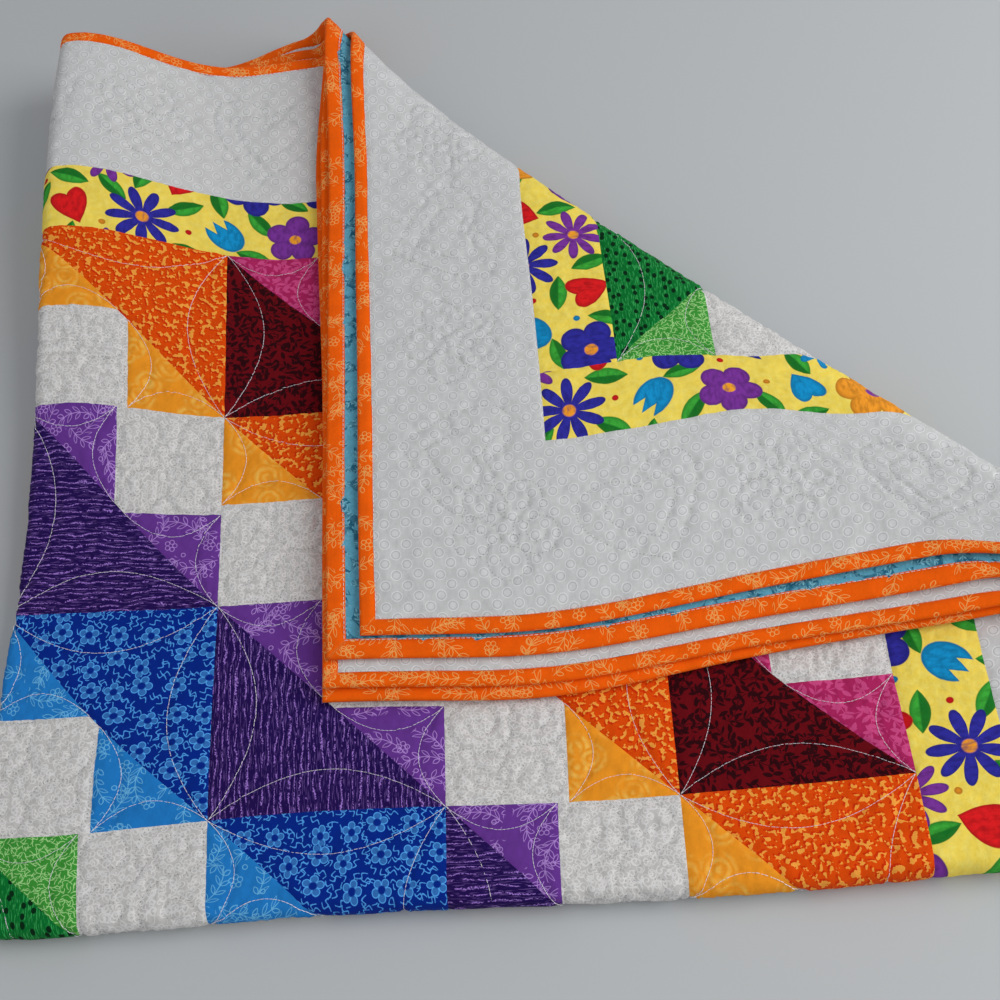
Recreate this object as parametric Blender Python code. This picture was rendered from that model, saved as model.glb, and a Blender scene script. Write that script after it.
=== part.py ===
"""Patchwork quilt, folded in quarters with its open corner turned back over the top.

The flat quilt is meshed once as a thin sheet in its own width and length.
Every point is then carried through three bends, in the order in which the
cloth is folded: the left fold, the near fold, and the slanted turn-back.
Sizes are in metres, +Z is up and the packet lies on z = 0.
"""
import math

import bpy
import numpy as np
from mathutils import Vector
from mathutils.geometry import delaunay_2d_cdt

# Flat quilt.
BLOCK = 0.1524
UNIT = BLOCK / 2
COLUMNS = 8
ROWS = 7
STRIP = 0.05715
BORDER = 0.123825
BINDING = 0.0105
HALF_W = COLUMNS * BLOCK / 2 + STRIP + BORDER + BINDING
HALF_H = ROWS * BLOCK / 2 + STRIP + BORDER + BINDING

# Layers through the thickness, measured from the middle of the cloth.
THICK = 0.0050
PITCH = 0.0060
BACKING_T = 0.0009
PIECE_GAP = 0.0003
BINDING_HALF = 0.00245
BINDING_NOSE = 0.0016
BINDING_FLAT = 0.0012
SEAM_TROUGH = 0.0007
TROUGH_REACH = 0.009

# Left and near folds: where each crosses the flat quilt, and its bend.
FOLD_X = 0.006
FOLD_Y = 0.0068
LOOP_R = PITCH / 2
NEAR_R = PITCH
LOOP_SWELL = 0.008
SWELL_FROM = 0.16
SWELL_TO = 0.66
SWELL_LENGTH = 0.150

# Turn-back: the slanted fold line is x + y = TURN_SUM in the packet's plane.
TURN_SUM = 0.915
TURN_MID = 2 * PITCH + 0.0004
STACK_SHARE = 0.3

# Loft of the layers over the table: centre, spread and height of each rise.
RISES = (
    # x, y, spread_x, spread_y, height
    (0.010, 0.710, 0.110, 0.270, 0.034),
    (0.205, 0.705, 0.110, 0.110, 0.018),
    (0.780, 0.130, 0.165, 0.145, 0.028),
)
EDGE_WAVES = (
    # phase, waves per metre, reach
    (0.6, 1.15, 0.0022),
    (2.1, 2.60, 0.0012),
)

# Drift of the whole packet in its plane, where the cloth isn't laid square.
DRIFTS = (
    # x, y, spread_x, spread_y, shift_x, shift_y
    (0.03, 0.08, 0.11, 0.12, -0.0120, -0.0075),
    (0.02, 0.42, 0.09, 0.14, -0.0050, 0.0195),
    (0.02, 0.70, 0.06, 0.14, -0.0015, 0.0085),
    (0.14, 0.70, 0.07, 0.10, -0.0030, -0.0080),
    (0.20, 0.56, 0.07, 0.10, 0.0020, -0.0135),
    (0.16, 0.30, 0.09, 0.12, -0.0030, -0.0030),
    (0.36, 0.14, 0.13, 0.10, 0.0040, -0.0100),
    (0.62, 0.15, 0.12, 0.10, -0.0055, -0.0110),
)

# Slip of single layers, each row or list from the lowest layer up.
FAN_PLACE = (0.198, 0.720, 0.050, 0.130)
FAN = (0.030, 0.026, 0.014, 0.0)
SLIPS = (
    # shift_y, shift_y further right, shift_x, shift_x further back
    (0.0007, 0.0237, 0.0012, 0.0010),
    (0.0118, 0.0189, 0.0004, 0.0022),
    (0.0024, 0.0232, -0.0033, -0.0027),
    (-0.0041, 0.0282, -0.0007, -0.0068),
)
SLIP_REACH = 0.080
SLIP_RIGHT = (0.33, 0.30)
SLIP_BACK = (0.30, 0.35)

# Mesh steps.
BEND_STEPS = 6
TURN_STEPS = 8
TURN_SPACING = 0.060
CLEAR_OF_TURN = 0.017


def ease(t):
    """Rise smoothly from 0 to 1 as t goes from 0 to 1."""
    t = np.clip(t, 0.0, 1.0)
    return t * t * (3.0 - 2.0 * t)


def loop_radius(across):
    """Radius of the left fold: tight near the front, swollen at the far end."""
    swell = ease((across - SWELL_FROM) / (SWELL_TO - SWELL_FROM))
    return LOOP_R + LOOP_SWELL * swell


def bend_left(u, v, offset):
    """Fold along a line of constant u; return x, height, and the middle's height."""
    radius = loop_radius(v)
    span = u - FOLD_X
    angle = np.clip(span / radius, -math.pi / 2, math.pi / 2)
    straight = np.maximum(np.abs(span) - radius * math.pi / 2, 0.0)
    fade = 0.5 * (1.0 + np.cos(math.pi * np.clip(straight / SWELL_LENGTH, 0.0, 1.0)))
    reach = np.where(straight > 0.0, LOOP_R + (radius - LOOP_R) * fade, radius)
    middle = reach * np.sin(angle)
    x = radius - (radius + offset) * np.cos(angle) + straight
    lift = (radius - LOOP_R) * fade
    return x, middle + offset * np.sin(angle) + lift, middle + lift


def near_radius(u):
    """Radius of the near fold for the layer that crosses it at u."""
    angle = np.clip((u - FOLD_X) / LOOP_R, -math.pi / 2, math.pi / 2)
    return NEAR_R + LOOP_R * np.sin(angle)


def bend_near(u, v, height, middle):
    """Fold along a line of constant v; return y, height, and the middle's height."""
    radius = near_radius(u)
    span = v - FOLD_Y
    angle = np.clip(span / radius, -math.pi / 2, math.pi / 2)
    straight = np.maximum(np.abs(span) - radius * math.pi / 2, 0.0)
    arm = NEAR_R + height
    y = straight - arm * np.cos(angle)
    return y, arm * np.sin(angle), (NEAR_R + middle) * np.sin(angle)


def turn_back(x, y, z, middle):
    """Turn what lies beyond the slanted line up and over; return x, y, z."""
    beyond = (x + y - TURN_SUM) / math.sqrt(2.0)
    radius = TURN_MID - z
    path = TURN_MID - middle
    angle = np.clip(beyond / path, 0.0, math.pi)
    past = np.maximum(beyond - math.pi * path, 0.0)
    bent = np.where(beyond > 0.0, radius * np.sin(angle) - past, beyond)
    shift = (bent - beyond) / math.sqrt(2.0)
    return x + shift, y + shift, np.where(beyond > 0.0, TURN_MID - radius * np.cos(angle), z)


def raise_layers(x, y, z):
    """Lift the layers where the packet is loose; the lowest one stays down."""
    share = np.clip((z + 1.5 * PITCH) / (3.0 * PITCH), 0.0, None)
    share = np.minimum(share, 1.0) + STACK_SHARE * np.clip(share - 1.0, 0.0, 2.0)
    return share * sum(bell(x, y, row) * row[4] for row in RISES)


def bell(x, y, place):
    """Smooth hump of height 1 about a place (x, y, spread_x, spread_y)."""
    return np.exp(-((x - place[0]) / place[2]) ** 2 - ((y - place[1]) / place[3]) ** 2)


def slip_layers(x, y, turned_x, turned_y, middle):
    """Shift of each layer past its neighbours, from places before and after the turn."""
    layer = middle / PITCH + 1.5
    beyond = (x + y - TURN_SUM) / math.sqrt(2.0)
    past = ease((beyond - math.pi * (TURN_MID - middle)) / SLIP_REACH)
    right = ease((turned_x - SLIP_RIGHT[0]) / SLIP_RIGHT[1])
    back = ease((turned_y - SLIP_BACK[0]) / SLIP_BACK[1])
    rows = [np.interp(layer, range(4), row) for row in zip(*SLIPS)]
    fan = np.interp(layer, range(4), FAN) * bell(turned_x, turned_y, FAN_PLACE)
    return past * (rows[2] + rows[3] * back), past * (rows[0] + rows[1] * right) + fan


def drift(x, y):
    """Shift in the plane that all layers share."""
    humps = [(bell(x, y, row), row) for row in DRIFTS]
    shift_x = sum(hump * row[4] for hump, row in humps)
    shift_y = sum(hump * row[5] for hump, row in humps)
    for phase, rate, reach in EDGE_WAVES:
        shift_x = shift_x + reach * np.sin(phase + 2.0 * math.pi * rate * y)
        shift_y = shift_y + reach * np.sin(phase + 1.0 + 2.0 * math.pi * rate * x)
    return shift_x, shift_y


def fold_points(flat, offset):
    """Carry flat points (u, v), each offset along its normal, to the packet."""
    u, v = flat[:, 0], flat[:, 1]
    zero = np.zeros(len(flat))
    x, height, middle = bend_left(u, v, offset)
    x_mid, height_mid, _ = bend_left(u, v, zero)
    y, z, z_mid = bend_near(u, v, height, middle)
    y_mid, _, _ = bend_near(u, v, height_mid, middle)
    px, py, pz = turn_back(x, y, z, z_mid)
    mx, my, mz = turn_back(x_mid, y_mid, z_mid, z_mid)
    slip_x, slip_y = slip_layers(x_mid, y_mid, mx, my, z_mid)
    mx, my = mx + slip_x, my + slip_y
    drift_x, drift_y = drift(mx, my)
    pz = pz + raise_layers(mx, my, mz)
    return np.column_stack((px + slip_x + drift_x, py + slip_y + drift_y, pz + 1.5 * PITCH + THICK / 2))


def turn_lines(side_u, side_v):
    """Values of |u| + |v| at which one quarter's slanted bend has its stations."""
    layer = {(1, 1): 1.5, (-1, 1): 0.5, (-1, -1): -0.5, (1, -1): -1.5}[side_u, side_v]
    radius = TURN_MID - layer * PITCH
    near = near_radius(np.array([side_u * HALF_W]))[0]
    start = TURN_SUM + (math.pi / 2 - 1.0) * LOOP_R + math.pi / 2 * near
    start += side_u * FOLD_X + side_v * FOLD_Y
    steps = np.linspace(0.0, math.pi, TURN_STEPS + 1)
    return start + math.sqrt(2.0) * radius * steps


QUARTERS = ((1, 1), (-1, 1), (-1, -1), (1, -1))
TURNS = {quarter: turn_lines(*quarter) for quarter in QUARTERS}


def grid_columns(half, v):
    """Flat u of each mesh column at v; the middle ones follow the left fold's bend."""
    seams = [k * UNIT for k in range(1, COLUMNS + 1)] + [HALF_W - BINDING - BORDER, half]
    outer = np.array(seams)
    steps = np.linspace(-math.pi / 2, math.pi / 2, BEND_STEPS + 1)
    return np.concatenate((-outer[::-1], FOLD_X + loop_radius(v) * steps, outer))


def grid_row(index, u, half):
    """Flat v of mesh row index at the columns u; rows near v = 0 follow the bend."""
    seams = [k * UNIT for k in range(1, ROWS + 1)] + [HALF_H - BINDING - BORDER, half]
    count = len(seams)
    if index < count:
        return np.full(len(u), -seams[count - 1 - index])
    if index <= count + BEND_STEPS:
        angle = math.pi * ((index - count) / BEND_STEPS - 0.5)
        return FOLD_Y + near_radius(u) * angle
    return np.full(len(u), seams[index - count - BEND_STEPS - 1])


def row_count():
    """Number of mesh rows."""
    return 2 * (ROWS + 2) + BEND_STEPS + 1


def clear_of_turn(point):
    """Say whether a flat point is well away from its quarter's slanted bend."""
    quarter = (1 if point[0] > 0 else -1, 1 if point[1] > 0 else -1)
    lines = TURNS[quarter]
    total = abs(point[0]) + abs(point[1])
    margin = CLEAR_OF_TURN * math.sqrt(2.0)
    return total < lines[0] - margin or total > lines[-1] + margin


def station_points(quarter, total, half_w, half_h):
    """Flat points along one slanted station, from the far edge to the side edge."""
    first = total - half_h
    last = half_w
    count = max(2, round((last - first) * math.sqrt(2.0) / TURN_SPACING))
    along = np.linspace(first, last, count + 1)
    return np.column_stack((quarter[0] * along, quarter[1] * (total - along)))


class FlatMesh:
    """Triangles of the flat sheet, with every fold lying on mesh edges."""

    def __init__(self, half_w, half_h):
        self.half_w = half_w
        self.half_h = half_h
        self.points = []
        self.edges = []
        self.keys = {}
        self.add_grid()
        self.add_turns()
        self.add_outline()
        self.triangulate()

    def add(self, point):
        """Add a point once and return its index."""
        key = (round(point[0], 7), round(point[1], 7))
        if key not in self.keys:
            self.keys[key] = len(self.points)
            self.points.append((float(point[0]), float(point[1])))
        return self.keys[key]

    def add_grid(self):
        """Add the seam crossings, the bends' stations and the crowns between seams."""
        grid = [self.grid_line(j) for j in range(row_count())]
        near_fold = range(ROWS + 2, ROWS + 3 + BEND_STEPS)
        left_fold = range(COLUMNS + 2, COLUMNS + 3 + BEND_STEPS)
        for j, row in enumerate(grid):
            for i, point in enumerate(row):
                if clear_of_turn(point):
                    self.add(point)
                if i and j in near_fold:
                    self.edges.append((self.add(row[i - 1]), self.add(point)))
                if j and i in left_fold:
                    self.edges.append((self.add(grid[j - 1][i]), self.add(point)))
        for below, above in zip(grid[:-1], grid[1:]):
            for i in range(1, len(above)):
                corners = np.array((below[i - 1], below[i], above[i - 1], above[i]))
                size = corners[3] - corners[0]
                middle = corners.mean(axis=0)
                if min(size) > UNIT / 2 and clear_of_turn(middle):
                    self.add(middle)

    def grid_line(self, index):
        """Points of one mesh row, from left to right."""
        level = grid_row(index, np.array([HALF_W]), self.half_h)[0]
        columns = grid_columns(self.half_w, level)
        return list(zip(columns, grid_row(index, columns, self.half_h)))

    def add_turns(self):
        """Add the stations of the slanted bend in each quarter."""
        for quarter in QUARTERS:
            for total in TURNS[quarter]:
                line = station_points(quarter, total, self.half_w, self.half_h)
                found = [self.add(point) for point in line]
                self.edges += list(zip(found[:-1], found[1:]))

    def add_outline(self):
        """Join the points that lie on the sheet's edge into one loop."""
        points = np.array(self.points)
        near = 1e-6
        sides = []
        for axis, value in ((1, -self.half_h), (0, self.half_w), (1, self.half_h), (0, -self.half_w)):
            found = np.nonzero(np.abs(points[:, axis] - value) < near)[0]
            order = np.argsort(points[found, 1 - axis])
            sides.append(found[order])
        loop = np.concatenate((sides[0][:-1], sides[1][:-1], sides[2][:0:-1], sides[3][:0:-1]))
        self.outline = [int(k) for k in loop]
        self.edges += list(zip(self.outline, self.outline[1:] + self.outline[:1]))

    def triangulate(self):
        """Fill the outline with triangles that keep every fold line."""
        result = delaunay_2d_cdt([Vector(p) for p in self.points], self.edges, [], 0, 1e-7)
        self.flat = np.array([tuple(p) for p in result[0]])
        self.faces = [tuple(face) for face in result[2]]
        origin = {}
        for new, old in enumerate(result[3]):
            for index in old:
                origin[index] = new
        self.outline = [origin[k] for k in self.outline]


def seam_depth(flat):
    """Depth of the trough along the seams; none where the lowest layer is pressed flat."""
    resting = (flat[:, 0] > 0.0) & (flat[:, 1] < 0.0)
    resting &= np.abs(flat).sum(axis=1) < TURNS[(1, -1)][0]
    inside = ~resting & (np.abs(flat[:, 0]) < COLUMNS * UNIT + UNIT / 4)
    inside &= (np.abs(flat[:, 1]) < ROWS * UNIT + UNIT / 4)
    far_u = np.abs(flat[:, 0] / UNIT - np.round(flat[:, 0] / UNIT)) * UNIT
    far_v = np.abs(flat[:, 1] / UNIT - np.round(flat[:, 1] / UNIT)) * UNIT
    nearest = np.minimum(far_u, far_v)
    return np.where(inside, SEAM_TROUGH * np.exp(-(nearest / TROUGH_REACH) ** 2), 0.0)


def closed_sheet(mesh, upper, lower):
    """Close a flat mesh between two offsets; return points and faces."""
    count = len(mesh.flat)
    points = np.vstack((fold_points(mesh.flat, upper), fold_points(mesh.flat, lower)))
    faces = list(mesh.faces)
    faces += [tuple(k + count for k in reversed(face)) for face in mesh.faces]
    following = mesh.outline[1:] + mesh.outline[:1]
    for a, b in zip(mesh.outline, following):
        faces.append((b, a, a + count, b + count))
    return points, faces


def binding_stations(side):
    """Stations of one side of the binding: flat u, v at the edge and slant inward."""
    axis, sign = side
    long_half, short_half = (HALF_H, HALF_W) if axis == 0 else (HALF_W, HALF_H)
    stations = [(-long_half, 1.0), (long_half, -1.0)]
    for way in (1, -1):
        quarter = (sign, way) if axis == 0 else (way, sign)
        for total in TURNS[quarter]:
            stations.append((way * (total - short_half), way))
    slanted = [place for place, _ in stations]
    if axis == 0:
        seams = [grid_row(j, np.array([sign * HALF_W]), HALF_H)[0] for j in range(1, row_count() - 1)]
    else:
        seams = list(grid_columns(HALF_W, sign * HALF_H))[1:-1]
    clear = 1.4 * BINDING + UNIT / 8
    in_fold = 4.0 * PITCH * math.pi
    for place in seams:
        if abs(place) < in_fold or min(abs(place - other) for other in slanted) > clear:
            stations.append((place, 0.0))
    return sorted(stations)


def binding_profile():
    """Section of the binding as distance in from the edge and offset."""
    return (
        (BINDING, BINDING_HALF),
        (BINDING_NOSE, BINDING_HALF),
        (0.0, BINDING_FLAT),
        (0.0, -BINDING_FLAT),
        (BINDING_NOSE, -BINDING_HALF),
        (BINDING, -BINDING_HALF),
    )


def binding_ring():
    """Sweep the binding's section round the four edges; return points and faces."""
    profile = binding_profile()
    flat = []
    offsets = []
    for axis, sign, step in ((1, -1, 1), (0, 1, 1), (1, 1, -1), (0, -1, -1)):
        edge = HALF_W if axis == 0 else HALF_H
        for place, slant in binding_stations((axis, sign))[::step][:-1]:
            for inward, offset in profile:
                along = place + slant * inward
                across = sign * (edge - inward)
                flat.append((across, along) if axis == 0 else (along, across))
                offsets.append(offset)
    points = fold_points(np.array(flat), np.array(offsets))
    size = len(profile)
    total = len(flat) // size
    faces = []
    for k in range(total):
        a, b = k * size, ((k + 1) % total) * size
        for i in range(size):
            j = (i + 1) % size
            faces.append((a + i, a + j, b + j, b + i))
    return points, faces


def make_material(name, colour, roughness):
    """Create one plain cloth material."""
    material = bpy.data.materials.new(name)
    material.use_nodes = True
    shader = material.node_tree.nodes["Principled BSDF"]
    shader.inputs["Base Color"].default_value = (*colour, 1.0)
    shader.inputs["Roughness"].default_value = roughness
    return material


def make_object(name, points, faces, centre, material):
    """Create one mesh object with its centre moved to the frame's origin."""
    mesh = bpy.data.meshes.new(name)
    mesh.from_pydata([tuple(p) for p in points - centre], [], faces)
    mesh.materials.append(material)
    mesh.validate()
    mesh.update()
    item = bpy.data.objects.new(name, mesh)
    bpy.context.scene.collection.objects.link(item)
    return item


def build():
    """Build the quilt's top, its backing and its binding."""
    for item in list(bpy.data.objects):
        bpy.data.objects.remove(item)
    inset = BINDING + PIECE_GAP
    sheet = FlatMesh(HALF_W - inset, HALF_H - inset)
    ones = np.ones(len(sheet.flat))
    half = THICK / 2
    top = closed_sheet(sheet, half - seam_depth(sheet.flat), (BACKING_T + PIECE_GAP - half) * ones)
    backing = closed_sheet(sheet, (BACKING_T - half) * ones, -half * ones)
    ring = binding_ring()
    everything = np.vstack((top[0], backing[0], ring[0]))
    low, high = everything.min(axis=0), everything.max(axis=0)
    centre = np.array([(low[0] + high[0]) / 2, (low[1] + high[1]) / 2, low[2]])
    cotton = make_material("pieced_cotton", (0.55, 0.42, 0.40), 0.9)
    teal = make_material("backing_cotton", (0.07, 0.24, 0.30), 0.9)
    orange = make_material("binding_cotton", (0.80, 0.14, 0.01), 0.85)
    make_object("quilt_top", top[0], top[1], centre, cotton)
    make_object("backing", backing[0], backing[1], centre, teal)
    make_object("binding", ring[0], ring[1], centre, orange)


build()
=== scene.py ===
"""Folded patchwork quilt: the cloth, prints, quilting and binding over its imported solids."""
import logging
import math
from dataclasses import dataclass, field
from enum import Enum
from typing import Any, Callable, Iterable, Sequence

import bpy
import numpy as np
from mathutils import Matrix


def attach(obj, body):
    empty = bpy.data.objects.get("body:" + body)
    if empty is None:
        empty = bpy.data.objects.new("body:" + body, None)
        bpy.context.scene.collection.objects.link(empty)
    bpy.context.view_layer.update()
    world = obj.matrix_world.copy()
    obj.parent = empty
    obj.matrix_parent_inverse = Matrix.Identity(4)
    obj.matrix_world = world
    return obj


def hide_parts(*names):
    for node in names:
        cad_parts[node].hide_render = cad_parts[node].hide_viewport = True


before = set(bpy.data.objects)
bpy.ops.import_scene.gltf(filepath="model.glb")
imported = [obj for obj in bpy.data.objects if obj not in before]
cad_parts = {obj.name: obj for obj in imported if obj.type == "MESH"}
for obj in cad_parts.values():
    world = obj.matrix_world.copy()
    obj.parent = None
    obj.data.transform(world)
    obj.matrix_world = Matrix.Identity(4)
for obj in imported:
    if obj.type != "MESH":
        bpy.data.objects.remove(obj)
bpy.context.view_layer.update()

TINY = 1e-6
log = logging.getLogger("quilt")


def ease(t: np.ndarray) -> np.ndarray:
    """Rise smoothly from 0 to 1 as t goes from 0 to 1."""
    t = np.clip(t, 0.0, 1.0)
    return t * t * (3.0 - 2.0 * t)


def run_lengths(line: np.ndarray) -> np.ndarray:
    """Length of a chain of points up to each of them."""
    return np.concatenate(([0.0], np.cumsum(np.linalg.norm(np.diff(line, axis=0), axis=1))))


def points_along(line: np.ndarray, length: np.ndarray, at: np.ndarray) -> np.ndarray:
    """Points of a chain at the lengths given."""
    return np.column_stack([np.interp(at, length, line[:, k]) for k in (0, 1)])


class Quarter(Enum):
    """Quarters of the flat quilt, as signs of u and v, by their layer from the top."""

    TOP = (1, 1)
    SECOND = (-1, 1)
    THIRD = (-1, -1)
    LOWEST = (1, -1)


class Fabric(Enum):
    """Cloths that the quilt is sewn from."""

    WHITE = "white"
    DOTS = "dots"
    FLORAL = "floral"
    DARK_0 = "maroon"
    DARK_1 = "orange"
    DARK_2 = "purple"
    DARK_3 = "blue"
    DARK_4 = "green"
    LIGHT_0 = "pink"
    LIGHT_1 = "honey"
    LIGHT_2 = "lilac"
    LIGHT_3 = "sky"
    LIGHT_4 = "leaf"


class Shape(Enum):
    """Outline of one cut patch."""

    RECTANGLE = 1
    TRIANGLE = 2
    CLIPPED = 3


@dataclass(frozen=True)
class QuiltSize:
    """Flat sizes of the quilt, in metres."""

    block: float = 0.1524
    columns: int = 8
    rows: int = 7
    strip: float = 0.05715
    border: float = 0.123825
    binding: float = 0.0105
    thick: float = 0.0050
    light: float = 0.07239

    @property
    def unit(self) -> float:
        """Side of half a block."""
        return self.block / 2

    @property
    def white(self) -> float:
        """Side of a white square, a little over half a block."""
        return self.block - self.light

    @property
    def field_w(self) -> float:
        """Half the width of the pieced blocks."""
        return self.columns * self.unit

    @property
    def field_h(self) -> float:
        """Half the height of the pieced blocks."""
        return self.rows * self.unit

    @property
    def half_w(self) -> float:
        """Half the quilt's width."""
        return self.field_w + self.strip + self.border + self.binding

    @property
    def half_h(self) -> float:
        """Half the quilt's height."""
        return self.field_h + self.strip + self.border + self.binding


SIZE = QuiltSize()


@dataclass(frozen=True)
class Folding:
    """The three bends that carry the flat quilt into its packet, in metres.

    Rows of rises hold a place, its two spreads and a height; rows of drifts the same
    with two shifts; rows of waves a phase, a rate and a reach. Rows of slips hold one
    shift for each layer from the lowest up: along y, more of it at the right, along x,
    and more of it at the back.
    """

    layers: int = 4
    pitch: float = 0.0060
    fold_x: float = 0.006
    fold_y: float = 0.0068
    loop_r: float = 0.0030
    near_r: float = 0.0060
    loop_swell: float = 0.008
    swell_from: float = 0.16
    swell_to: float = 0.66
    swell_length: float = 0.150
    turn_sum: float = 0.915
    turn_mid: float = 0.0124
    stack_share: float = 0.3
    centre: tuple[float, float, float] = (0.3978831, 0.3675521, 0.0)
    rises: tuple[tuple[float, ...], ...] = (
        (0.010, 0.710, 0.110, 0.270, 0.034),
        (0.205, 0.705, 0.110, 0.110, 0.018),
        (0.780, 0.130, 0.165, 0.145, 0.028),
    )
    waves: tuple[tuple[float, ...], ...] = ((0.6, 1.15, 0.0022), (2.1, 2.60, 0.0012))
    drifts: tuple[tuple[float, ...], ...] = (
        (0.03, 0.08, 0.11, 0.12, -0.0120, -0.0075),
        (0.02, 0.42, 0.09, 0.14, -0.0050, 0.0195),
        (0.02, 0.70, 0.06, 0.14, -0.0015, 0.0085),
        (0.14, 0.70, 0.07, 0.10, -0.0030, -0.0080),
        (0.20, 0.56, 0.07, 0.10, 0.0020, -0.0135),
        (0.16, 0.30, 0.09, 0.12, -0.0030, -0.0030),
        (0.36, 0.14, 0.13, 0.10, 0.0040, -0.0100),
        (0.62, 0.15, 0.12, 0.10, -0.0055, -0.0110),
    )
    fan_place: tuple[float, ...] = (0.198, 0.720, 0.050, 0.130)
    fan: tuple[float, ...] = (0.030, 0.026, 0.014, 0.0)
    slips: tuple[tuple[float, ...], ...] = (
        (0.0007, 0.0237, 0.0012, 0.0010),
        (0.0118, 0.0189, 0.0004, 0.0022),
        (0.0024, 0.0232, -0.0033, -0.0027),
        (-0.0041, 0.0282, -0.0007, -0.0068),
    )
    slip_reach: float = 0.080
    ease_right: tuple[float, float] = (0.33, 0.30)
    ease_back: tuple[float, float] = (0.30, 0.35)

    @property
    def middle_layer(self) -> float:
        """Number of the height at the middle of the packet, with the lowest layer at 0."""
        return (self.layers - 1) / 2

    def _bend_left(self, u: np.ndarray, v: np.ndarray, offset: np.ndarray) -> tuple:
        """Fold along constant u.

        Half a circle of the loop's radius about u = fold_x, then straight; beyond the
        circle the layers draw together again by half a cosine.

        Args:
            u: Flat places across.
            v: Flat places along.
            offset: Heights over the cloth's middle.

        Returns:
            x, the point's height and the middle's height.
        """
        swell = ease((v - self.swell_from) / (self.swell_to - self.swell_from))
        radius = self.loop_r + self.loop_swell * swell
        span = u - self.fold_x
        angle = np.clip(span / radius, -math.pi / 2, math.pi / 2)
        straight = np.maximum(np.abs(span) - radius * math.pi / 2, 0.0)
        fade = 0.5 * (1.0 + np.cos(math.pi * np.clip(straight / self.swell_length, 0.0, 1.0)))
        reach = np.where(straight > 0.0, self.loop_r + (radius - self.loop_r) * fade, radius)
        lift = (radius - self.loop_r) * fade
        middle = reach * np.sin(angle)
        x = radius - (radius + offset) * np.cos(angle) + straight
        return x, middle + offset * np.sin(angle) + lift, middle + lift

    def _bend_near(
        self, u: np.ndarray, v: np.ndarray, height: np.ndarray, middle: np.ndarray
    ) -> tuple:
        """Fold along constant v, each layer about its own radius.

        Args:
            u: Flat places across.
            v: Flat places along.
            height: Heights after the left fold.
            middle: Heights of the cloth's middle after the left fold.

        Returns:
            y, the point's height and the middle's height.
        """
        side = np.clip((u - self.fold_x) / self.loop_r, -math.pi / 2, math.pi / 2)
        radius = self.near_r + self.loop_r * np.sin(side)
        span = v - self.fold_y
        angle = np.clip(span / radius, -math.pi / 2, math.pi / 2)
        straight = np.maximum(np.abs(span) - radius * math.pi / 2, 0.0)
        arm = self.near_r + height
        y, raised = straight - arm * np.cos(angle), arm * np.sin(angle)
        return y, raised, (self.near_r + middle) * np.sin(angle)

    def _turn_back(self, x: np.ndarray, y: np.ndarray, z: np.ndarray, middle: np.ndarray) -> tuple:
        """Turn what lies beyond x + y = turn_sum up and over about turn_mid."""
        beyond = (x + y - self.turn_sum) / math.sqrt(2.0)
        radius = self.turn_mid - z
        path = self.turn_mid - middle
        angle = np.clip(beyond / path, 0.0, math.pi)
        past = np.maximum(beyond - math.pi * path, 0.0)
        bent = np.where(beyond > 0.0, radius * np.sin(angle) - past, beyond)
        shift = (bent - beyond) / math.sqrt(2.0)
        raised = np.where(beyond > 0.0, self.turn_mid - radius * np.cos(angle), z)
        return x + shift, y + shift, raised

    def _rise(self, x: np.ndarray, y: np.ndarray, z: np.ndarray) -> np.ndarray:
        """Loft of the layers: bell-shaped rises, shared out from the lowest layer up."""
        full = (self.layers - 1) * self.pitch
        share = np.clip((z + self.middle_layer * self.pitch) / full, 0.0, None)
        share = np.minimum(share, 1.0) + self.stack_share * np.clip(share - 1.0, 0.0, 2.0)
        return share * sum(self._bell(x, y, row) * row[4] for row in self.rises)

    @staticmethod
    def _bell(x: np.ndarray, y: np.ndarray, place: Sequence[float]) -> np.ndarray:
        """Smooth hump of height 1 about a place given with its two spreads."""
        return np.exp(-((x - place[0]) / place[2]) ** 2 - ((y - place[1]) / place[3]) ** 2)

    def _slip(
        self, x: np.ndarray, y: np.ndarray, at_x: np.ndarray, at_y: np.ndarray, middle: np.ndarray
    ) -> tuple[np.ndarray, np.ndarray]:
        """Shift of each layer past its neighbours.

        Args:
            x: Places from the left fold before the turn-back.
            y: Places from the near fold before the turn-back.
            at_x: The same after the turn-back.
            at_y: The same after the turn-back.
            middle: Heights of the cloth's middle before the turn-back.

        Returns:
            Shifts along x and y: eased in past the slanted fold, with a fan at the far edge.
        """
        layer = middle / self.pitch + self.middle_layer
        beyond = (x + y - self.turn_sum) / math.sqrt(2.0)
        past = ease((beyond - math.pi * (self.turn_mid - middle)) / self.slip_reach)
        right = ease((at_x - self.ease_right[0]) / self.ease_right[1])
        back = ease((at_y - self.ease_back[0]) / self.ease_back[1])
        numbers = range(self.layers)
        rows = [np.interp(layer, numbers, row) for row in zip(*self.slips)]
        fan = np.interp(layer, numbers, self.fan) * self._bell(at_x, at_y, self.fan_place)
        return past * (rows[2] + rows[3] * back), past * (rows[0] + rows[1] * right) + fan

    def _drift(self, x: np.ndarray, y: np.ndarray) -> tuple[np.ndarray, np.ndarray]:
        """Shift in the plane that all layers share: humps, and waves along the edges."""
        shift_x = sum(self._bell(x, y, row) * row[4] for row in self.drifts)
        shift_y = sum(self._bell(x, y, row) * row[5] for row in self.drifts)
        for phase, rate, reach in self.waves:
            shift_x = shift_x + reach * np.sin(phase + 2.0 * math.pi * rate * y)
            shift_y = shift_y + reach * np.sin(phase + 1.0 + 2.0 * math.pi * rate * x)
        return shift_x, shift_y

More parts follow.
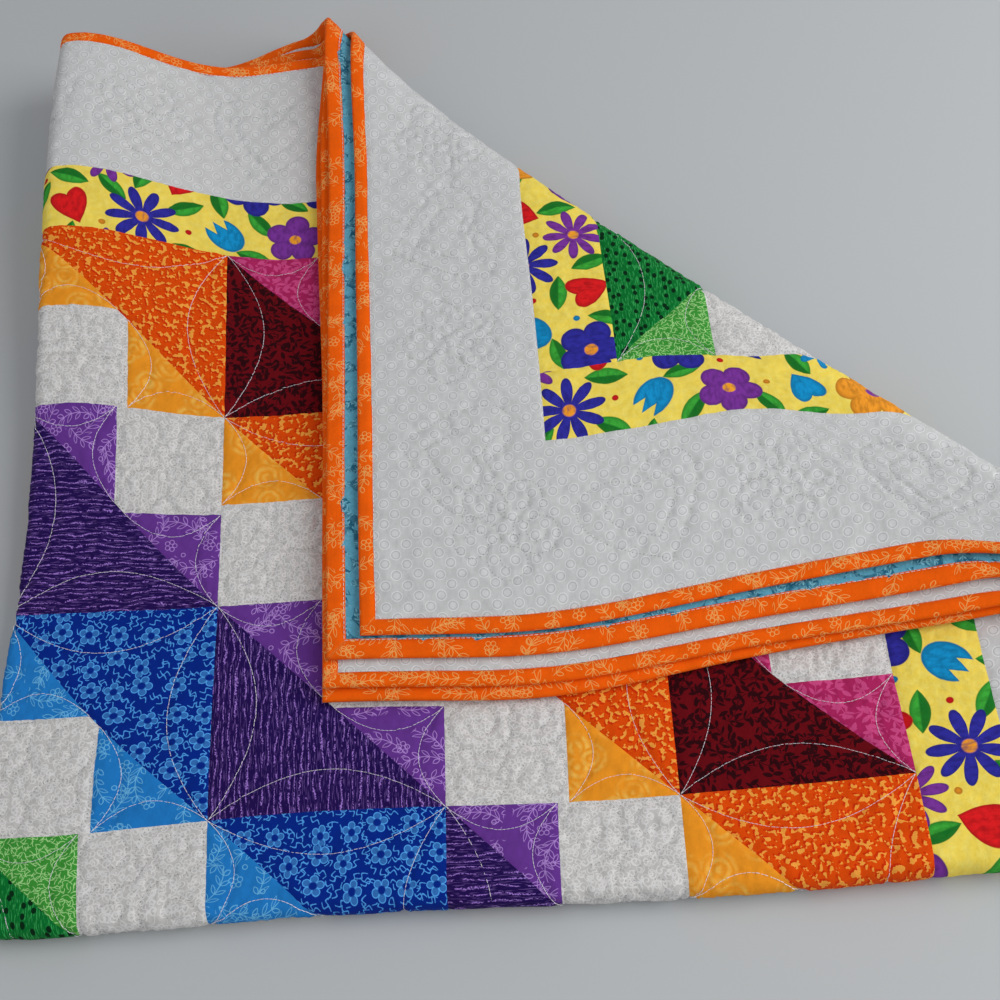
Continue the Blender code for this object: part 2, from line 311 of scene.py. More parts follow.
    def place(self, flat: np.ndarray, offset: np.ndarray) -> np.ndarray:
        """Carry flat points to the folded packet.

        Args:
            flat: Points (u, v) on the flat quilt.
            offset: Height of each point over the cloth's middle.

        Returns:
            Points in the frame, in metres.
        """
        u, v = flat[:, 0], flat[:, 1]
        zero = np.zeros(len(flat))
        x, height, middle = self._bend_left(u, v, offset)
        x_mid, height_mid, _ = self._bend_left(u, v, zero)
        y, z, z_mid = self._bend_near(u, v, height, middle)
        y_mid, _, _ = self._bend_near(u, v, height_mid, middle)
        px, py, pz = self._turn_back(x, y, z, z_mid)
        mx, my, mz = self._turn_back(x_mid, y_mid, z_mid, z_mid)
        slip_x, slip_y = self._slip(x_mid, y_mid, mx, my, z_mid)
        mx, my = mx + slip_x, my + slip_y
        drift_x, drift_y = self._drift(mx, my)
        lowest = self.middle_layer * self.pitch
        raised = pz + self._rise(mx, my, mz) + lowest + SIZE.thick / 2
        points = np.column_stack((px + slip_x + drift_x, py + slip_y + drift_y, raised))
        return points - np.array(self.centre)

    def packet(self, flat: np.ndarray) -> tuple[np.ndarray, np.ndarray, np.ndarray]:
        """Where flat points lie in the packet before the turn-back.

        Args:
            flat: Points (u, v) on the flat quilt.

        Returns:
            Distance from the left fold, from the near fold, and past the slanted line.
        """
        x = np.abs(flat[:, 0] - self.fold_x)
        y = np.abs(flat[:, 1] - self.fold_y)
        return x, y, (x + y - self.turn_sum) / math.sqrt(2.0)


FOLDING = Folding()


@dataclass(frozen=True)
class Patch:
    """One cut patch: its square corner, its legs, its cloth and how its print is turned."""

    corner: tuple[float, float]
    legs: tuple[float, float]
    shape: Shape
    fabric: Fabric
    turn: int = 0

    @property
    def area(self) -> float:
        """Flat area in square metres."""
        full = abs(self.legs[0] * self.legs[1])
        cut = 2 * SIZE.white - SIZE.block
        clipped = full - cut * cut / 2
        areas = {Shape.RECTANGLE: full, Shape.TRIANGLE: full / 2, Shape.CLIPPED: clipped}
        return areas[self.shape]

    def outline(self) -> np.ndarray:
        """Flat corners of the patch."""
        x, y = self.corner
        a, b = self.legs
        points = [(x, y), (x + a, y), (x, y + b)]
        if self.shape is not Shape.TRIANGLE:
            points.append((x + a, y + b))
        return np.array(points)


class PatchPlan:
    """Every patch of the pieced top, block by block, then the strip and the border."""

    def __init__(self, size: QuiltSize) -> None:
        """Lay out the patches.

        Args:
            size: Flat sizes of the quilt.
        """
        self.size = size
        self.patches: list[Patch] = []
        for row in range(1, size.rows + 1):
            for column in range(1, size.columns + 1):
                self._block(row, column)
        self._frame(Fabric.FLORAL, size.field_w, size.field_h, size.strip)
        inner_w, inner_h = size.field_w + size.strip, size.field_h + size.strip
        self._frame(Fabric.DOTS, inner_w, inner_h, size.border)

    def _block(self, row: int, column: int) -> None:
        """Add one block: a dark half, two light triangles and a white square.

        Args:
            row: Row from the far edge, from 1.
            column: Column from the left edge, from 1.
        """
        left = (column - 1) * self.size.block - self.size.field_w
        low = self.size.field_h - row * self.size.block
        right, top = left + self.size.block, low + self.size.block
        family = (row - column) % 5
        turn = row % 2
        if (row + column) % 2 == 0:
            light, dark, sign = (left, low), (right, top), 1
        else:
            light, dark, sign = (right, top), (left, low), -1
        sides = (self.size.block, self.size.light, self.size.white)
        block, leg, white = (sign * side for side in sides)
        shade, tint = Fabric[f"DARK_{family}"], Fabric[f"LIGHT_{family}"]
        self.add(dark, (-block, -block), Shape.TRIANGLE, shade, turn)
        self.add((light[0], light[1] + white), (leg, leg), Shape.TRIANGLE, tint, turn)
        self.add((light[0] + white, light[1]), (leg, leg), Shape.TRIANGLE, tint, turn)
        self.add(light, (white, white), Shape.CLIPPED, Fabric.WHITE, turn)

    def _frame(self, fabric: Fabric, half_w: float, half_h: float, width: float) -> None:
        """Add one border of the width given, cut in lengths that meet the blocks' seams.

        Args:
            fabric: The border's cloth.
            half_w: Half the width of what it surrounds.
            half_h: Half the height of what it surrounds.
            width: Width of the border.
        """
        for sign in (1, -1):
            for start, length in self._lengths(half_w):
                self.add((start, sign * half_h), (length, sign * width), Shape.RECTANGLE, fabric)
            for start, length in self._lengths(half_h):
                self.add((sign * half_w, start), (sign * width, length), Shape.RECTANGLE, fabric)
            for other in (1, -1):
                corner = (sign * half_w, other * half_h)
                self.add(corner, (sign * width, other * width), Shape.RECTANGLE, fabric)

    def _lengths(self, half: float) -> list[tuple[float, float]]:
        """Cut a side of twice the half given into lengths of about one unit."""
        unit = self.size.unit
        inner = unit * math.floor(half / unit + TINY)
        rest = half - inner > TINY
        marks = [-half] if rest else []
        marks += list(np.arange(-inner, inner + unit / 2, unit))
        marks += [half] if rest else []
        return [(a, b - a) for a, b in zip(marks[:-1], marks[1:])]

    def add(self, corner: tuple, legs: tuple, shape: Shape, fabric: Fabric, turn: int = 0) -> None:
        """Add one patch."""
        self.patches.append(Patch(corner, legs, shape, fabric, turn))

    def of(self, *fabrics: Fabric) -> list[Patch]:
        """Patches cut from any of the cloths given."""
        return [patch for patch in self.patches if patch.fabric in fabrics]


@dataclass
class Quilting:
    """Machine-quilted lines over the whole flat quilt, as chains of points."""

    plan: PatchPlan
    arc_points: int = 60
    arc_power: float = 0.9
    long_bulge: float = 0.19
    short_bulge: float = 0.24
    curls_a_side: int = 2
    curl_points: int = 110
    curl_start: float = 0.0014
    curl_fill: float = 0.66
    curl_power: float = 0.85
    curl_jitter: float = 0.003
    curl_turns: tuple[float, float] = (3.0, 4.0)
    seam_room: float = 0.002
    motif_pitch: float = 0.098
    motif_past: float = 0.09
    motif_tilt: float = 0.4
    heart_points: int = 200
    heart_sizes: tuple[float, float] = (0.0028, 0.0016)
    petals: int = 5
    petal_points: int = 120
    petal_reach: float = 0.024
    petal_radius: float = 0.019
    petal_narrowing: float = 0.0045
    petal_turn: float = 3.3
    petal_start: float = 2.6
    arcs: list[np.ndarray] = field(default_factory=list)
    curls: list[np.ndarray] = field(default_factory=list)
    motifs: list[np.ndarray] = field(default_factory=list)

    def __post_init__(self) -> None:
        """Draw every quilted line."""
        rng = np.random.default_rng(11)
        for patch in self.plan.patches:
            if patch.shape is Shape.TRIANGLE:
                self._peel(patch)
            elif patch.fabric is Fabric.WHITE:
                self._curl_square(patch, rng)
        self._border_row(self.plan.size, rng)

    def _peel(self, patch: Patch) -> None:
        """Bow one arc inward from each leg of a triangle: a sine hump over the leg."""
        t = np.linspace(0.0, 1.0, self.arc_points)
        a, b = patch.legs
        bulge = self.long_bulge if abs(a) > SIZE.unit * 1.5 else self.short_bulge
        hump = np.sin(math.pi * t) ** self.arc_power
        x, y = patch.corner
        self.arcs.append(np.column_stack((x + a * t, y + bulge * b * hump)))
        self.arcs.append(np.column_stack((x + bulge * a * hump, y + b * t)))

    def _curl_square(self, patch: Patch, rng: np.random.Generator) -> None:
        """Fill a white square with spirals: radius grows with the angle turned."""
        t = np.linspace(0.0, 1.0, self.curl_points)
        step = SIZE.white / self.curls_a_side
        x0, y0 = patch.outline().min(axis=0)
        for i in range(self.curls_a_side):
            for j in range(self.curls_a_side):
                centre = np.array([x0 + (i + 0.5) * step, y0 + (j + 0.5) * step])
                centre += rng.uniform(-self.curl_jitter, self.curl_jitter, 2)
                hand = rng.choice((-1.0, 1.0))
                angle = rng.uniform(0, 2 * math.pi)
                angle = angle + hand * t * rng.uniform(*self.curl_turns) * math.pi
                grown = step * self.curl_fill - self.curl_start
                radius = self.curl_start + grown * t ** self.curl_power
                line = centre + np.column_stack((np.cos(angle), np.sin(angle))) * radius[:, None]
                low = np.array([x0, y0]) + self.seam_room
                high = np.array([x0, y0]) + SIZE.white - self.seam_room
                self.curls.append(np.clip(line, low, high))

    def _border_row(self, size: QuiltSize, rng: np.random.Generator) -> None:
        """Set hearts and rounds of curled petals in turn along all four borders."""
        middle = size.border / 2 + size.strip
        for axis in (0, 1):
            along_half = size.field_w if axis == 0 else size.field_h
            across = (size.field_h if axis == 0 else size.field_w) + middle
            past = along_half + self.motif_past
            places = np.arange(-past, past + 0.01, self.motif_pitch)
            for sign in (1, -1):
                for k, place in enumerate(places):
                    centre = (place, sign * across) if axis == 0 else (sign * across, place)
                    self._motif(np.array(centre), k + (sign > 0), axis, rng)

    def _motif(self, centre: np.ndarray, kind: int, axis: int, rng: np.random.Generator) -> None:
        """Add one border motif: an echoed heart, or five curled petals."""
        t = np.linspace(0.0, 2.0 * math.pi, self.heart_points)
        turn = rng.uniform(-self.motif_tilt, self.motif_tilt) + axis * math.pi / 2
        spin = np.array([[math.cos(turn), -math.sin(turn)], [math.sin(turn), math.cos(turn)]])
        if kind % 2 == 0:
            height = 13 * np.cos(t) - 5 * np.cos(2 * t) - 2 * np.cos(3 * t)
            heart = np.column_stack((16 * np.sin(t) ** 3, height))
            for size in self.heart_sizes:
                self.motifs.append(centre + heart @ spin.T * size)
            return
        for petal in range(self.petals):
            way = turn + petal * 2 * math.pi / self.petals
            hub = centre + self.petal_reach * np.array([math.cos(way), math.sin(way)])
            curl = np.linspace(0.0, self.petal_turn * math.pi, self.petal_points)
            radius = self.petal_radius - self.petal_narrowing * curl / math.pi
            angle = curl + way + self.petal_start
            circle = np.column_stack((np.cos(angle), np.sin(angle)))
            self.motifs.append(hub + circle * radius[:, None])

    def all(self) -> list[np.ndarray]:
        """Every quilted line."""
        return self.arcs + self.curls + self.motifs


@dataclass
class Relief:
    """Height of the quilted face over its flat level, kept on a grid of the flat quilt.

    The heights, the step and the waves are in metres, the reach in cells of the grid, and
    the trough, the hollow and the pucker's reach in millimetres.
    """

    lines: list[np.ndarray]
    step: float = 0.0010
    reach: int = 9
    sunk: float = 0.0010
    sunk_wide: float = 0.0006
    pucker: float = 0.00045
    billow: float = 0.0003
    border_share: float = 0.6
    trough: float = 1.3
    hollow: float = 4.2
    pucker_reach: float = 5.0
    pucker_rest: float = 0.25
    fine_waves: tuple[float, float] = (0.0045, 0.009)
    broad_waves: tuple[float, float] = (0.022, 0.060)
    height: np.ndarray = field(init=False)

    def __post_init__(self) -> None:
        """Work out the grid."""
        self.shape = (int(2 * SIZE.half_w / self.step) + 3, int(2 * SIZE.half_h / self.step) + 3)
        far = self._distance() * 1000.0
        fine = self._noise(*self.fine_waves, seed=3)
        broad = self._noise(*self.broad_waves, seed=4)
        narrow = self.sunk * np.exp(-(far / self.trough) ** 2)
        wide = self.sunk_wide * np.exp(-(far / self.hollow) ** 1.5)
        ripple = self.pucker * fine * (self.pucker_rest + np.exp(-far / self.pucker_reach))
        u, v = (
            np.abs(np.arange(count) * self.step - half)
            for count, half in zip(self.shape, (SIZE.half_w, SIZE.half_h))
        )
        border = (u[:, None] > SIZE.field_w) | (v[None, :] > SIZE.field_h)
        drawn = np.where(border, self.border_share, 1.0)
        self.height = ripple + self.billow * broad - drawn * (narrow + wide)

    def _distance(self) -> np.ndarray:
        """Distance to the nearest quilted line, up to the reach of a few cells."""
        points = []
        for line in self.lines:
            length = run_lengths(line)
            points.append(points_along(line, length, np.arange(0.0, length[-1], self.step)))
        place = (np.vstack(points) + np.array([SIZE.half_w, SIZE.half_h])) / self.step
        cell = np.round(place).astype(int)
        far = np.full(self.shape, float(self.reach))
        span = range(-self.reach, self.reach + 1)
        for i in span:
            for j in span:
                x = np.clip(cell[:, 0] + i, 0, self.shape[0] - 1)
                y = np.clip(cell[:, 1] + j, 0, self.shape[1] - 1)
                gap = np.hypot(x - place[:, 0], y - place[:, 1])
                near = gap < self.reach
                np.minimum.at(far, (x[near], y[near]), gap[near])
        return far * self.step

    def _noise(self, short: float, long: float, seed: int) -> np.ndarray:
        """Smooth noise that holds only waves from the short to the long length."""
        rng = np.random.default_rng(seed)
        wave = np.fft.rfft2(rng.standard_normal(self.shape))
        rate = np.hypot(
            np.fft.fftfreq(self.shape[0], self.step)[:, None],
            np.fft.rfftfreq(self.shape[1], self.step)[None, :],
        )
        keep = np.exp(-((rate * short) ** 2) * 1.2) * (1.0 - np.exp(-((rate * long) ** 2)))
        noise = np.fft.irfft2(wave * keep, s=self.shape)
        return noise / noise.std()

    def at(self, flat: np.ndarray) -> np.ndarray:
        """Height at flat points, between the grid's cells.

        Args:
            flat: Points (u, v) on the flat quilt.

        Returns:
            Heights in metres.
        """
        place = (flat + np.array([SIZE.half_w, SIZE.half_h])) / self.step
        i = np.clip(place[:, 0].astype(int), 0, self.shape[0] - 2)
        j = np.clip(place[:, 1].astype(int), 0, self.shape[1] - 2)
        a, b = place[:, 0] - i, place[:, 1] - j
        g = self.height
        return ((1 - a) * (1 - b) * g[i, j] + a * (1 - b) * g[i + 1, j]
                + (1 - a) * b * g[i, j + 1] + a * b * g[i + 1, j + 1])


def make_mesh(name: str, points: np.ndarray, faces: Sequence[np.ndarray]) -> bpy.types.Object:
    """Put points and faces into a new smooth mesh object at the origin.

    Args:
        name: Name of the piece.
        points: Vertices in the frame.
        faces: Arrays of faces, each array with its own number of corners.

    Returns:
        The new object, linked to the scene.
    """
    mesh = bpy.data.meshes.new(name)
    mesh.vertices.add(len(points))
    mesh.vertices.foreach_set("co", points.astype(np.float32).ravel())
    corners = np.concatenate([f.ravel() for f in faces]).astype(np.int32)
    counts = np.concatenate([np.full(len(f), f.shape[1]) for f in faces]).astype(np.int32)
    starts = np.concatenate(([0], np.cumsum(counts)[:-1])).astype(np.int32)
    mesh.loops.add(len(corners))
    mesh.loops.foreach_set("vertex_index", corners)
    mesh.polygons.add(len(counts))
    mesh.polygons.foreach_set("loop_start", starts)
    mesh.polygons.foreach_set("use_smooth", np.ones(len(counts), dtype=bool))
    mesh.update(calc_edges=True)
    mesh.validate()
    item = bpy.data.objects.new(name, mesh)
    bpy.context.scene.collection.objects.link(item)
    return item


def cell_corners(number: np.ndarray) -> tuple[np.ndarray, ...]:
    """Numbers at the four corners of every cell of a numbered grid, in turn."""
    return number[:-1, :-1], number[1:, :-1], number[1:, 1:], number[:-1, 1:]


def set_map(item: bpy.types.Object, name: str, places: np.ndarray) -> None:
    """Give a mesh a UV map from one place per vertex.

    Args:
        item: The mesh object.
        name: Name of the map.
        places: Map coordinates, one row per vertex.
    """
    mesh = item.data
    layer = mesh.uv_layers.new(name=name)
    corners = np.empty(len(mesh.loops), dtype=np.int32)
    mesh.loops.foreach_get("vertex_index", corners)
    layer.uv.foreach_set("vector", places[corners].astype(np.float32).ravel())


class CutTemplate:
    """Grid of one patch: places along its legs and faces, all wound one way."""

    def __init__(self, across: int, along: int, shape: Shape) -> None:
        """Work out the grid.

        Args:
            across: Cells along the first leg.
            along: Cells along the second leg.
            shape: Whether the patch is a rectangle or a triangle.
        """
        i, j = np.meshgrid(np.arange(across + 1), np.arange(along + 1), indexing="ij")
        cut = {Shape.RECTANGLE: 2 * across + 2 * along, Shape.TRIANGLE: across}
        block = round(across * SIZE.block / SIZE.white)
        keep = i + j <= cut.get(shape, block)
        number = np.full(i.shape, -1)
        number[keep] = np.arange(keep.sum())
        self.s = i[keep] / across
        self.t = j[keep] / along
        a, b, c, d = cell_corners(number)
        whole = c >= 0
        self.quads = np.column_stack((a[whole], b[whole], c[whole], d[whole]))
        half = (a >= 0) & (b >= 0) & (d >= 0) & (c < 0)
        self.triangles = np.column_stack((a[half], b[half], d[half]))

    def seam_distance(self, patch: Patch) -> np.ndarray:
        """Distance of each grid point from the patch's own seams.

        The strip and the border are each cut along their length in one, so they have
        seams only at their two edges, and the strip at the ends of its longer sides.
        """
        a, b = abs(patch.legs[0]), abs(patch.legs[1])
        if patch.shape is Shape.RECTANGLE:
            floral = patch.fabric is Fabric.FLORAL
            width, start = (SIZE.strip, 0.0) if floral else (SIZE.border, SIZE.strip)
            flat = np.array(patch.corner) + np.column_stack((self.s, self.t)) * np.array(patch.legs)
            past = np.abs(flat) - np.array([SIZE.field_w, SIZE.field_h]) - start
            near = np.minimum(past.max(axis=1), (width - past).min(axis=1))
            return np.maximum(np.minimum(near, np.abs(past[:, 0])) if floral else near, 0.0)
        sides = [self.s * a, self.t * b]
        if patch.shape is Shape.TRIANGLE:
            sides.append((1 - self.s - self.t) * a / math.sqrt(2.0))
        else:
            clipped = (SIZE.block - self.s * a - self.t * b) / math.sqrt(2.0)
            sides += [(1 - self.s) * a, (1 - self.t) * b, clipped]
        return np.maximum(np.min(sides, axis=0), 0.0)


@dataclass
class PiecedTop:
    """Builds the face of the quilt, one piece for each group of cloths."""

    plan: PatchPlan
    relief: Relief
    fine: float = 0.001905
    middling: float = 0.00381
    coarse: float = 0.00762
    seen_x: float = 0.225
    seen_y: float = 0.15
    deep_under: float = 0.3
    near_fold: float = 0.02
    floral_start: tuple[float, float] = (0.046, 0.021)
    ditch: float = 0.0008
    ditch_width: float = 0.0019
    lowest: float = -0.0019
    highest: float = 0.00042
    bake_gap: float = 0.02
    sparse: float = 0.31
    filled: float = 0.5
    templates: dict[tuple, CutTemplate] = field(default_factory=dict)

    def __post_init__(self) -> None:
        """Start the random numbers that say where each patch is cut from its cloth."""
        self.rng = np.random.default_rng(5)

    def cell(self, patch: Patch) -> float:
        """Size of a patch's cells: fine where it shows, coarse inside the packet."""
        outline = patch.outline()
        centre = outline.mean(axis=0)
        x, y, past = FOLDING.packet(outline)
        quarter = Quarter((1 if centre[0] > 0 else -1, 1 if centre[1] > 0 else -1))
        if quarter is Quarter.TOP:
            if (x.min() < self.seen_x or y.min() < self.seen_y) and past.min() < 0.01:
                return self.fine
        elif quarter is Quarter.LOWEST:
            return self.fine if past.max() > 0.0 else self.middling
        elif quarter is Quarter.SECOND and past.max() > self.deep_under:
            return self.middling
        small = patch.fabric is Fabric.WHITE or abs(patch.legs[0]) < SIZE.unit
        if small or x.min() < self.near_fold or y.min() < self.near_fold:
            return self.middling
        return self.coarse

    def template(self, patch: Patch) -> CutTemplate:
        """Grid for a patch, shared by all patches of its size and cells."""
        cell = self.cell(patch)
        across = max(1, round(abs(patch.legs[0]) / cell))
        along = max(1, round(abs(patch.legs[1]) / cell))
        key = (across, along, patch.shape)
        if key not in self.templates:
            self.templates[key] = CutTemplate(*key)
        return self.templates[key]

    def heights(self, flat: np.ndarray, seam: np.ndarray) -> np.ndarray:
        """Offset of the face: the cloth's half thickness, its quilting and its seams."""
        ditch = self.ditch * np.exp(-((seam / self.ditch_width) ** 1.2))
        relief = np.clip(self.relief.at(flat) - ditch, self.lowest, self.highest)
        return SIZE.thick / 2 + relief

    def piece(
        self, name: str, fabrics: Sequence[Fabric], finishes: Sequence[Any]
    ) -> bpy.types.Object:
        """Build one piece of the face.

        Args:
            name: Name of the piece.
            fabrics: Its cloths, in the order of its material slots.
            finishes: The finish of each cloth.

        Returns:
            The piece, dressed and tied to the frame.
        """
        patches = self.plan.of(*fabrics)
        grid = math.ceil(math.sqrt(len(patches)))
        flats, seams, prints, bakes, quads, triangles, slots = [], [], [], [], [], [], [[], []]
        count = 0
        for number, patch in enumerate(patches):
            cut = self.template(patch)
            flat = np.array(patch.corner) + np.column_stack((cut.s, cut.t)) * np.array(patch.legs)
            flats.append(flat)
            seams.append(cut.seam_distance(patch))
            prints.append(self._print_place(patch, flat))
            room = np.array([number % grid, number // grid]) + self.bake_gap
            share = 1.0 - 2.0 * self.bake_gap
            bakes.append((room + share * np.column_stack((cut.s, cut.t))) / grid)
            turned = patch.legs[0] * patch.legs[1] < 0
            for found, faces, store in ((0, cut.quads, quads), (1, cut.triangles, triangles)):
                store.append((faces[:, ::-1] if turned else faces) + count)
                slots[found].append(np.full(len(faces), fabrics.index(patch.fabric)))
            count += len(flat)
        flat = np.vstack(flats)
        points = FOLDING.place(flat, self.heights(flat, np.concatenate(seams)))
        faces = [np.vstack(quads)]
        if sum(len(t) for t in triangles):
            faces.append(np.vstack(triangles))
        item = make_mesh(name, points, faces)
        set_map(item, "Cloth", np.vstack(prints))
        set_map(item, "OFBake", np.vstack(bakes))
        item.data.uv_layers["Cloth"].active_render = True
        item.data.uv_layers.active = item.data.uv_layers["Cloth"]
        for finish in finishes:
            item.data.materials.append(finish.material())
        index = np.concatenate(slots[0] + slots[1]).astype(np.int32)
        item.data.polygons.foreach_set("material_index", index)
        area = sum(patch.area for patch in patches)
        low, high = flat.min(axis=0), flat.max(axis=0)
        self.declare(item, (high[0] - low[0], high[1] - low[1]), area)
        log.info("%s: %d patches, %d faces", name, len(patches), len(index))
        return item

    def _print_place(self, patch: Patch, flat: np.ndarray) -> np.ndarray:
        """Where each point lies on its printed cloth: turned, and cut from anywhere."""
        if patch.fabric is Fabric.DOTS:
            return flat
        if patch.fabric is Fabric.FLORAL:
            upright = abs(abs(patch.legs[0]) - SIZE.strip) < TINY
            side = np.sign(patch.legs[0] if upright else patch.legs[1])
            along = flat[:, ::-1] if upright else flat
            return along * np.array([1.0, side]) + side * np.array(self.floral_start)
        places = flat - np.array(patch.corner)
        if patch.turn:
            places = places[:, ::-1] * np.array([1.0, -1.0])
        return places + self.rng.uniform(0.0, 1.0, 2)

    def declare(self, item: bpy.types.Object, flat: tuple[float, float], area: float) -> None:
        """Tie a piece of the face to the frame.

        Args:
            item: The piece.
            flat: Sides of the rectangle round its patches on the flat quilt.
            area: Flat area of its patches; where they fill little of that rectangle, the
            side of a square of twice their area is worked out, and then not used.
        """
        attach(item, "root")
        share = area / (flat[0] * flat[1])
        if share < self.sparse:
            side = math.sqrt(area / self.filled)
            flat = (side, side)


FULL_TURN = 6.283


def operator(operation: str, swapped: bool = False) -> Callable[["Sock", Any], "Sock"]:
    """Python operator that writes a Math node.

    Args:
        operation: The node's operation.
        swapped: Whether the socket stands on the operator's right.

    Returns:
        The method for the operator.
    """
    def write(socket: "Sock", other: Any) -> "Sock":
        """Write the node."""
        values = (other, socket) if swapped else (socket, other)
        return socket.nodes.maths(operation, *values)
    return write


class Sock:
    """A node socket that takes part in Python arithmetic."""

    def __init__(self, nodes: "Nodes", link: Any) -> None:
        """Wrap a socket.

        Args:
            nodes: The node tree that it is in.
            link: The socket.
        """
        self.nodes = nodes
        self.link = link

    __add__ = operator("ADD")
    __radd__ = operator("ADD", swapped=True)
    __sub__ = operator("SUBTRACT")
    __rsub__ = operator("SUBTRACT", swapped=True)
    __mul__ = operator("MULTIPLY")
    __rmul__ = operator("MULTIPLY", swapped=True)
    __truediv__ = operator("DIVIDE")
    __pow__ = operator("POWER")
    __lt__ = operator("LESS_THAN")
    __gt__ = operator("GREATER_THAN")

    def __abs__(self) -> "Sock":
        """Size without sign."""
        return self.nodes.maths("ABSOLUTE", self)


class Nodes:
    """Writes one material's node tree."""

    def __init__(self, material: bpy.types.Material) -> None:
        """Start on a material that has only its Principled shader.

        Args:
            material: The material to write.
        """
        self.tree = material.node_tree
        self.shader = self.tree.nodes["Principled BSDF"]

    def shade(self, **inputs: Any) -> None:
        """Set the shader's inputs, each named with underscores for its spaces."""
        for name, value in inputs.items():
            self.put(self.shader.inputs[name.replace("_", " ")], value)

    def put(self, socket: Any, value: Any) -> None:
        """Set a socket to a value, or link another socket to it."""
        if isinstance(value, Sock):
            self.tree.links.new(value.link, socket)
        elif value is not None:
            socket.default_value = value

    def add(self, kind: str, settings: dict[str, Any], inputs: dict[Any, Any]) -> bpy.types.Node:
        """Add one node.

        Args:
            kind: The node's type.
            settings: Its own settings, set first.
            inputs: Values or sockets for its inputs, by name or number.

        Returns:
            The node.
        """
        node = self.tree.nodes.new(kind)
        for name, value in settings.items():
            setattr(node, name, value)
        for name, value in inputs.items():
            self.put(node.inputs[name], value)
        return node

    def maths(self, operation: str, *values: Any) -> Sock:
        """Add a Math node and return its value."""
        node = self.add("ShaderNodeMath", {"operation": operation}, dict(enumerate(values)))
        return Sock(self, node.outputs[0])

    def vector(self, operation: str, *values: Any) -> Sock:
        """Add a Vector Math node and return its vector."""
        node = self.add("ShaderNodeVectorMath", {"operation": operation}, dict(enumerate(values)))
        return Sock(self, node.outputs["Vector"])

    def scale(self, place: Sock, by: Sequence[float]) -> Sock:
        """Multiply a place by three factors."""
        return self.vector("MULTIPLY", place, tuple(by))

    def parts(self, place: Sock) -> tuple[Sock, Sock]:
        """x and y of a place."""
        node = self.add("ShaderNodeSeparateXYZ", {}, {0: place})
        return Sock(self, node.outputs[0]), Sock(self, node.outputs[1])

    def join(self, x: Any, y: Any) -> Sock:
        """Place from its x and y."""
        node = self.add("ShaderNodeCombineXYZ", {}, {0: x, 1: y})
        return Sock(self, node.outputs[0])

    def cloth(self) -> Sock:
        """Place on the printed cloth, in millimetres."""
        node = self.add("ShaderNodeUVMap", {"uv_map": "Cloth"}, {})
        return self.scale(Sock(self, node.outputs[0]), (1000.0, 1000.0, 1.0))

    def noise(self, place: Sock, size: float, detail: float = 2.0, rough: float = 0.5) -> Sock:
        """Smooth noise from 0 to 1 with lumps of about the size given."""
        node = self.add(
            "ShaderNodeTexNoise",
            {"noise_dimensions": "2D"},
            {"Vector": place, "Scale": 1.0 / size, "Detail": detail, "Roughness": rough},
        )
        return Sock(self, node.outputs[0])

    def stretched(
        self, x: Sock, y: Sock, wide: float, high: float, detail: float, rough: float = 0.5
    ) -> Sock:
        """Smooth noise whose lumps have a width and a height of their own."""
        return self.noise(self.join(x / wide, y / high), 1.0, detail, rough)

    def cells(self, place: Sock, size: float, jitter: float) -> tuple[Sock, Sock, Sock]:
        """Scattered cells.

        Args:
            place: Where to look.
            size: Spacing of the cells' centres.
            jitter: How unevenly they lie, from 0 to 1.

        Returns:
            Place from the cell's centre, and two random numbers for the cell.
        """
        node = self.add(
            "ShaderNodeTexVoronoi",
            {"voronoi_dimensions": "2D"},
            {"Vector": place, "Scale": 1.0 / size, "Randomness": jitter},
        )
        local = self.vector("SUBTRACT", place, Sock(self, node.outputs["Position"]))
        colour = self.add("ShaderNodeSeparateColor", {}, {0: Sock(self, node.outputs["Color"])})
        return local, Sock(self, colour.outputs[0]), Sock(self, colour.outputs[1])

    def turned(self, place: Sock, angle: Any) -> tuple[Sock, Sock]:
        """x and y of a place turned back by an angle."""
        x, y = self.parts(place)
        c, s = self.maths("COSINE", angle), self.maths("SINE", angle)
        return x * c + y * s, y * c - x * s

    def spun(self, place: Sock, size: float, jitter: float) -> tuple[Sock, Sock]:
        """x and y in scattered cells, each turned by an angle of its own."""
        local, spin, _ = self.cells(place, size, jitter)
        return self.turned(local, spin * FULL_TURN)

    def length(self, x: Sock, y: Sock) -> Sock:
        """Distance from zero."""
        return self.maths("SQRT", x * x + y * y)

    def step(self, value: Any, low: float, high: float) -> Sock:
        """Smooth step from 0 at low to 1 at high, or the other way where low is larger."""
        start, end = (1.0, 0.0) if low > high else (0.0, 1.0)
        node = self.add(
            "ShaderNodeMapRange",
            {"interpolation_type": "SMOOTHSTEP", "clamp": True},
            {"Value": value, 1: min(low, high), 2: max(low, high), 3: start, 4: end},
        )
        return Sock(self, node.outputs[0])

    def fill(self, edge: Sock, soft: float = 0.12) -> Sock:
        """One inside an edge and nothing past it."""
        return self.step(edge, soft, -soft)

    def line(self, value: Any, width: float, soft: float = 0.15) -> Sock:
        """One near zero and nothing past the width: a drawn line."""
        return self.step(abs(value), width + soft, max(width - soft, 0.0))

    def larger(self, *values: Any) -> Sock:
        """Largest of several masks."""
        total = values[0]
        for value in values[1:]:
            total = self.maths("MAXIMUM", total, value)
        return total

    def smaller(self, *values: Any) -> Sock:
        """Smallest of several masks."""
        total = values[0]
        for value in values[1:]:
            total = self.maths("MINIMUM", total, value)
        return total

    def mix(self, factor: Any, first: Any, second: Any) -> Sock:
        """Mix two colours."""
        node = self.add("ShaderNodeMix", {"data_type": "RGBA"}, {0: factor, 6: first, 7: second})
        return Sock(self, node.outputs[2])

    def vines(self, place: Sock, size: float, width: float) -> Sock:
        """Thin wandering lines: where smooth noise crosses its middle."""
        return self.line(self.noise(place, size, 0.5) - 0.5, width, width * 0.5)

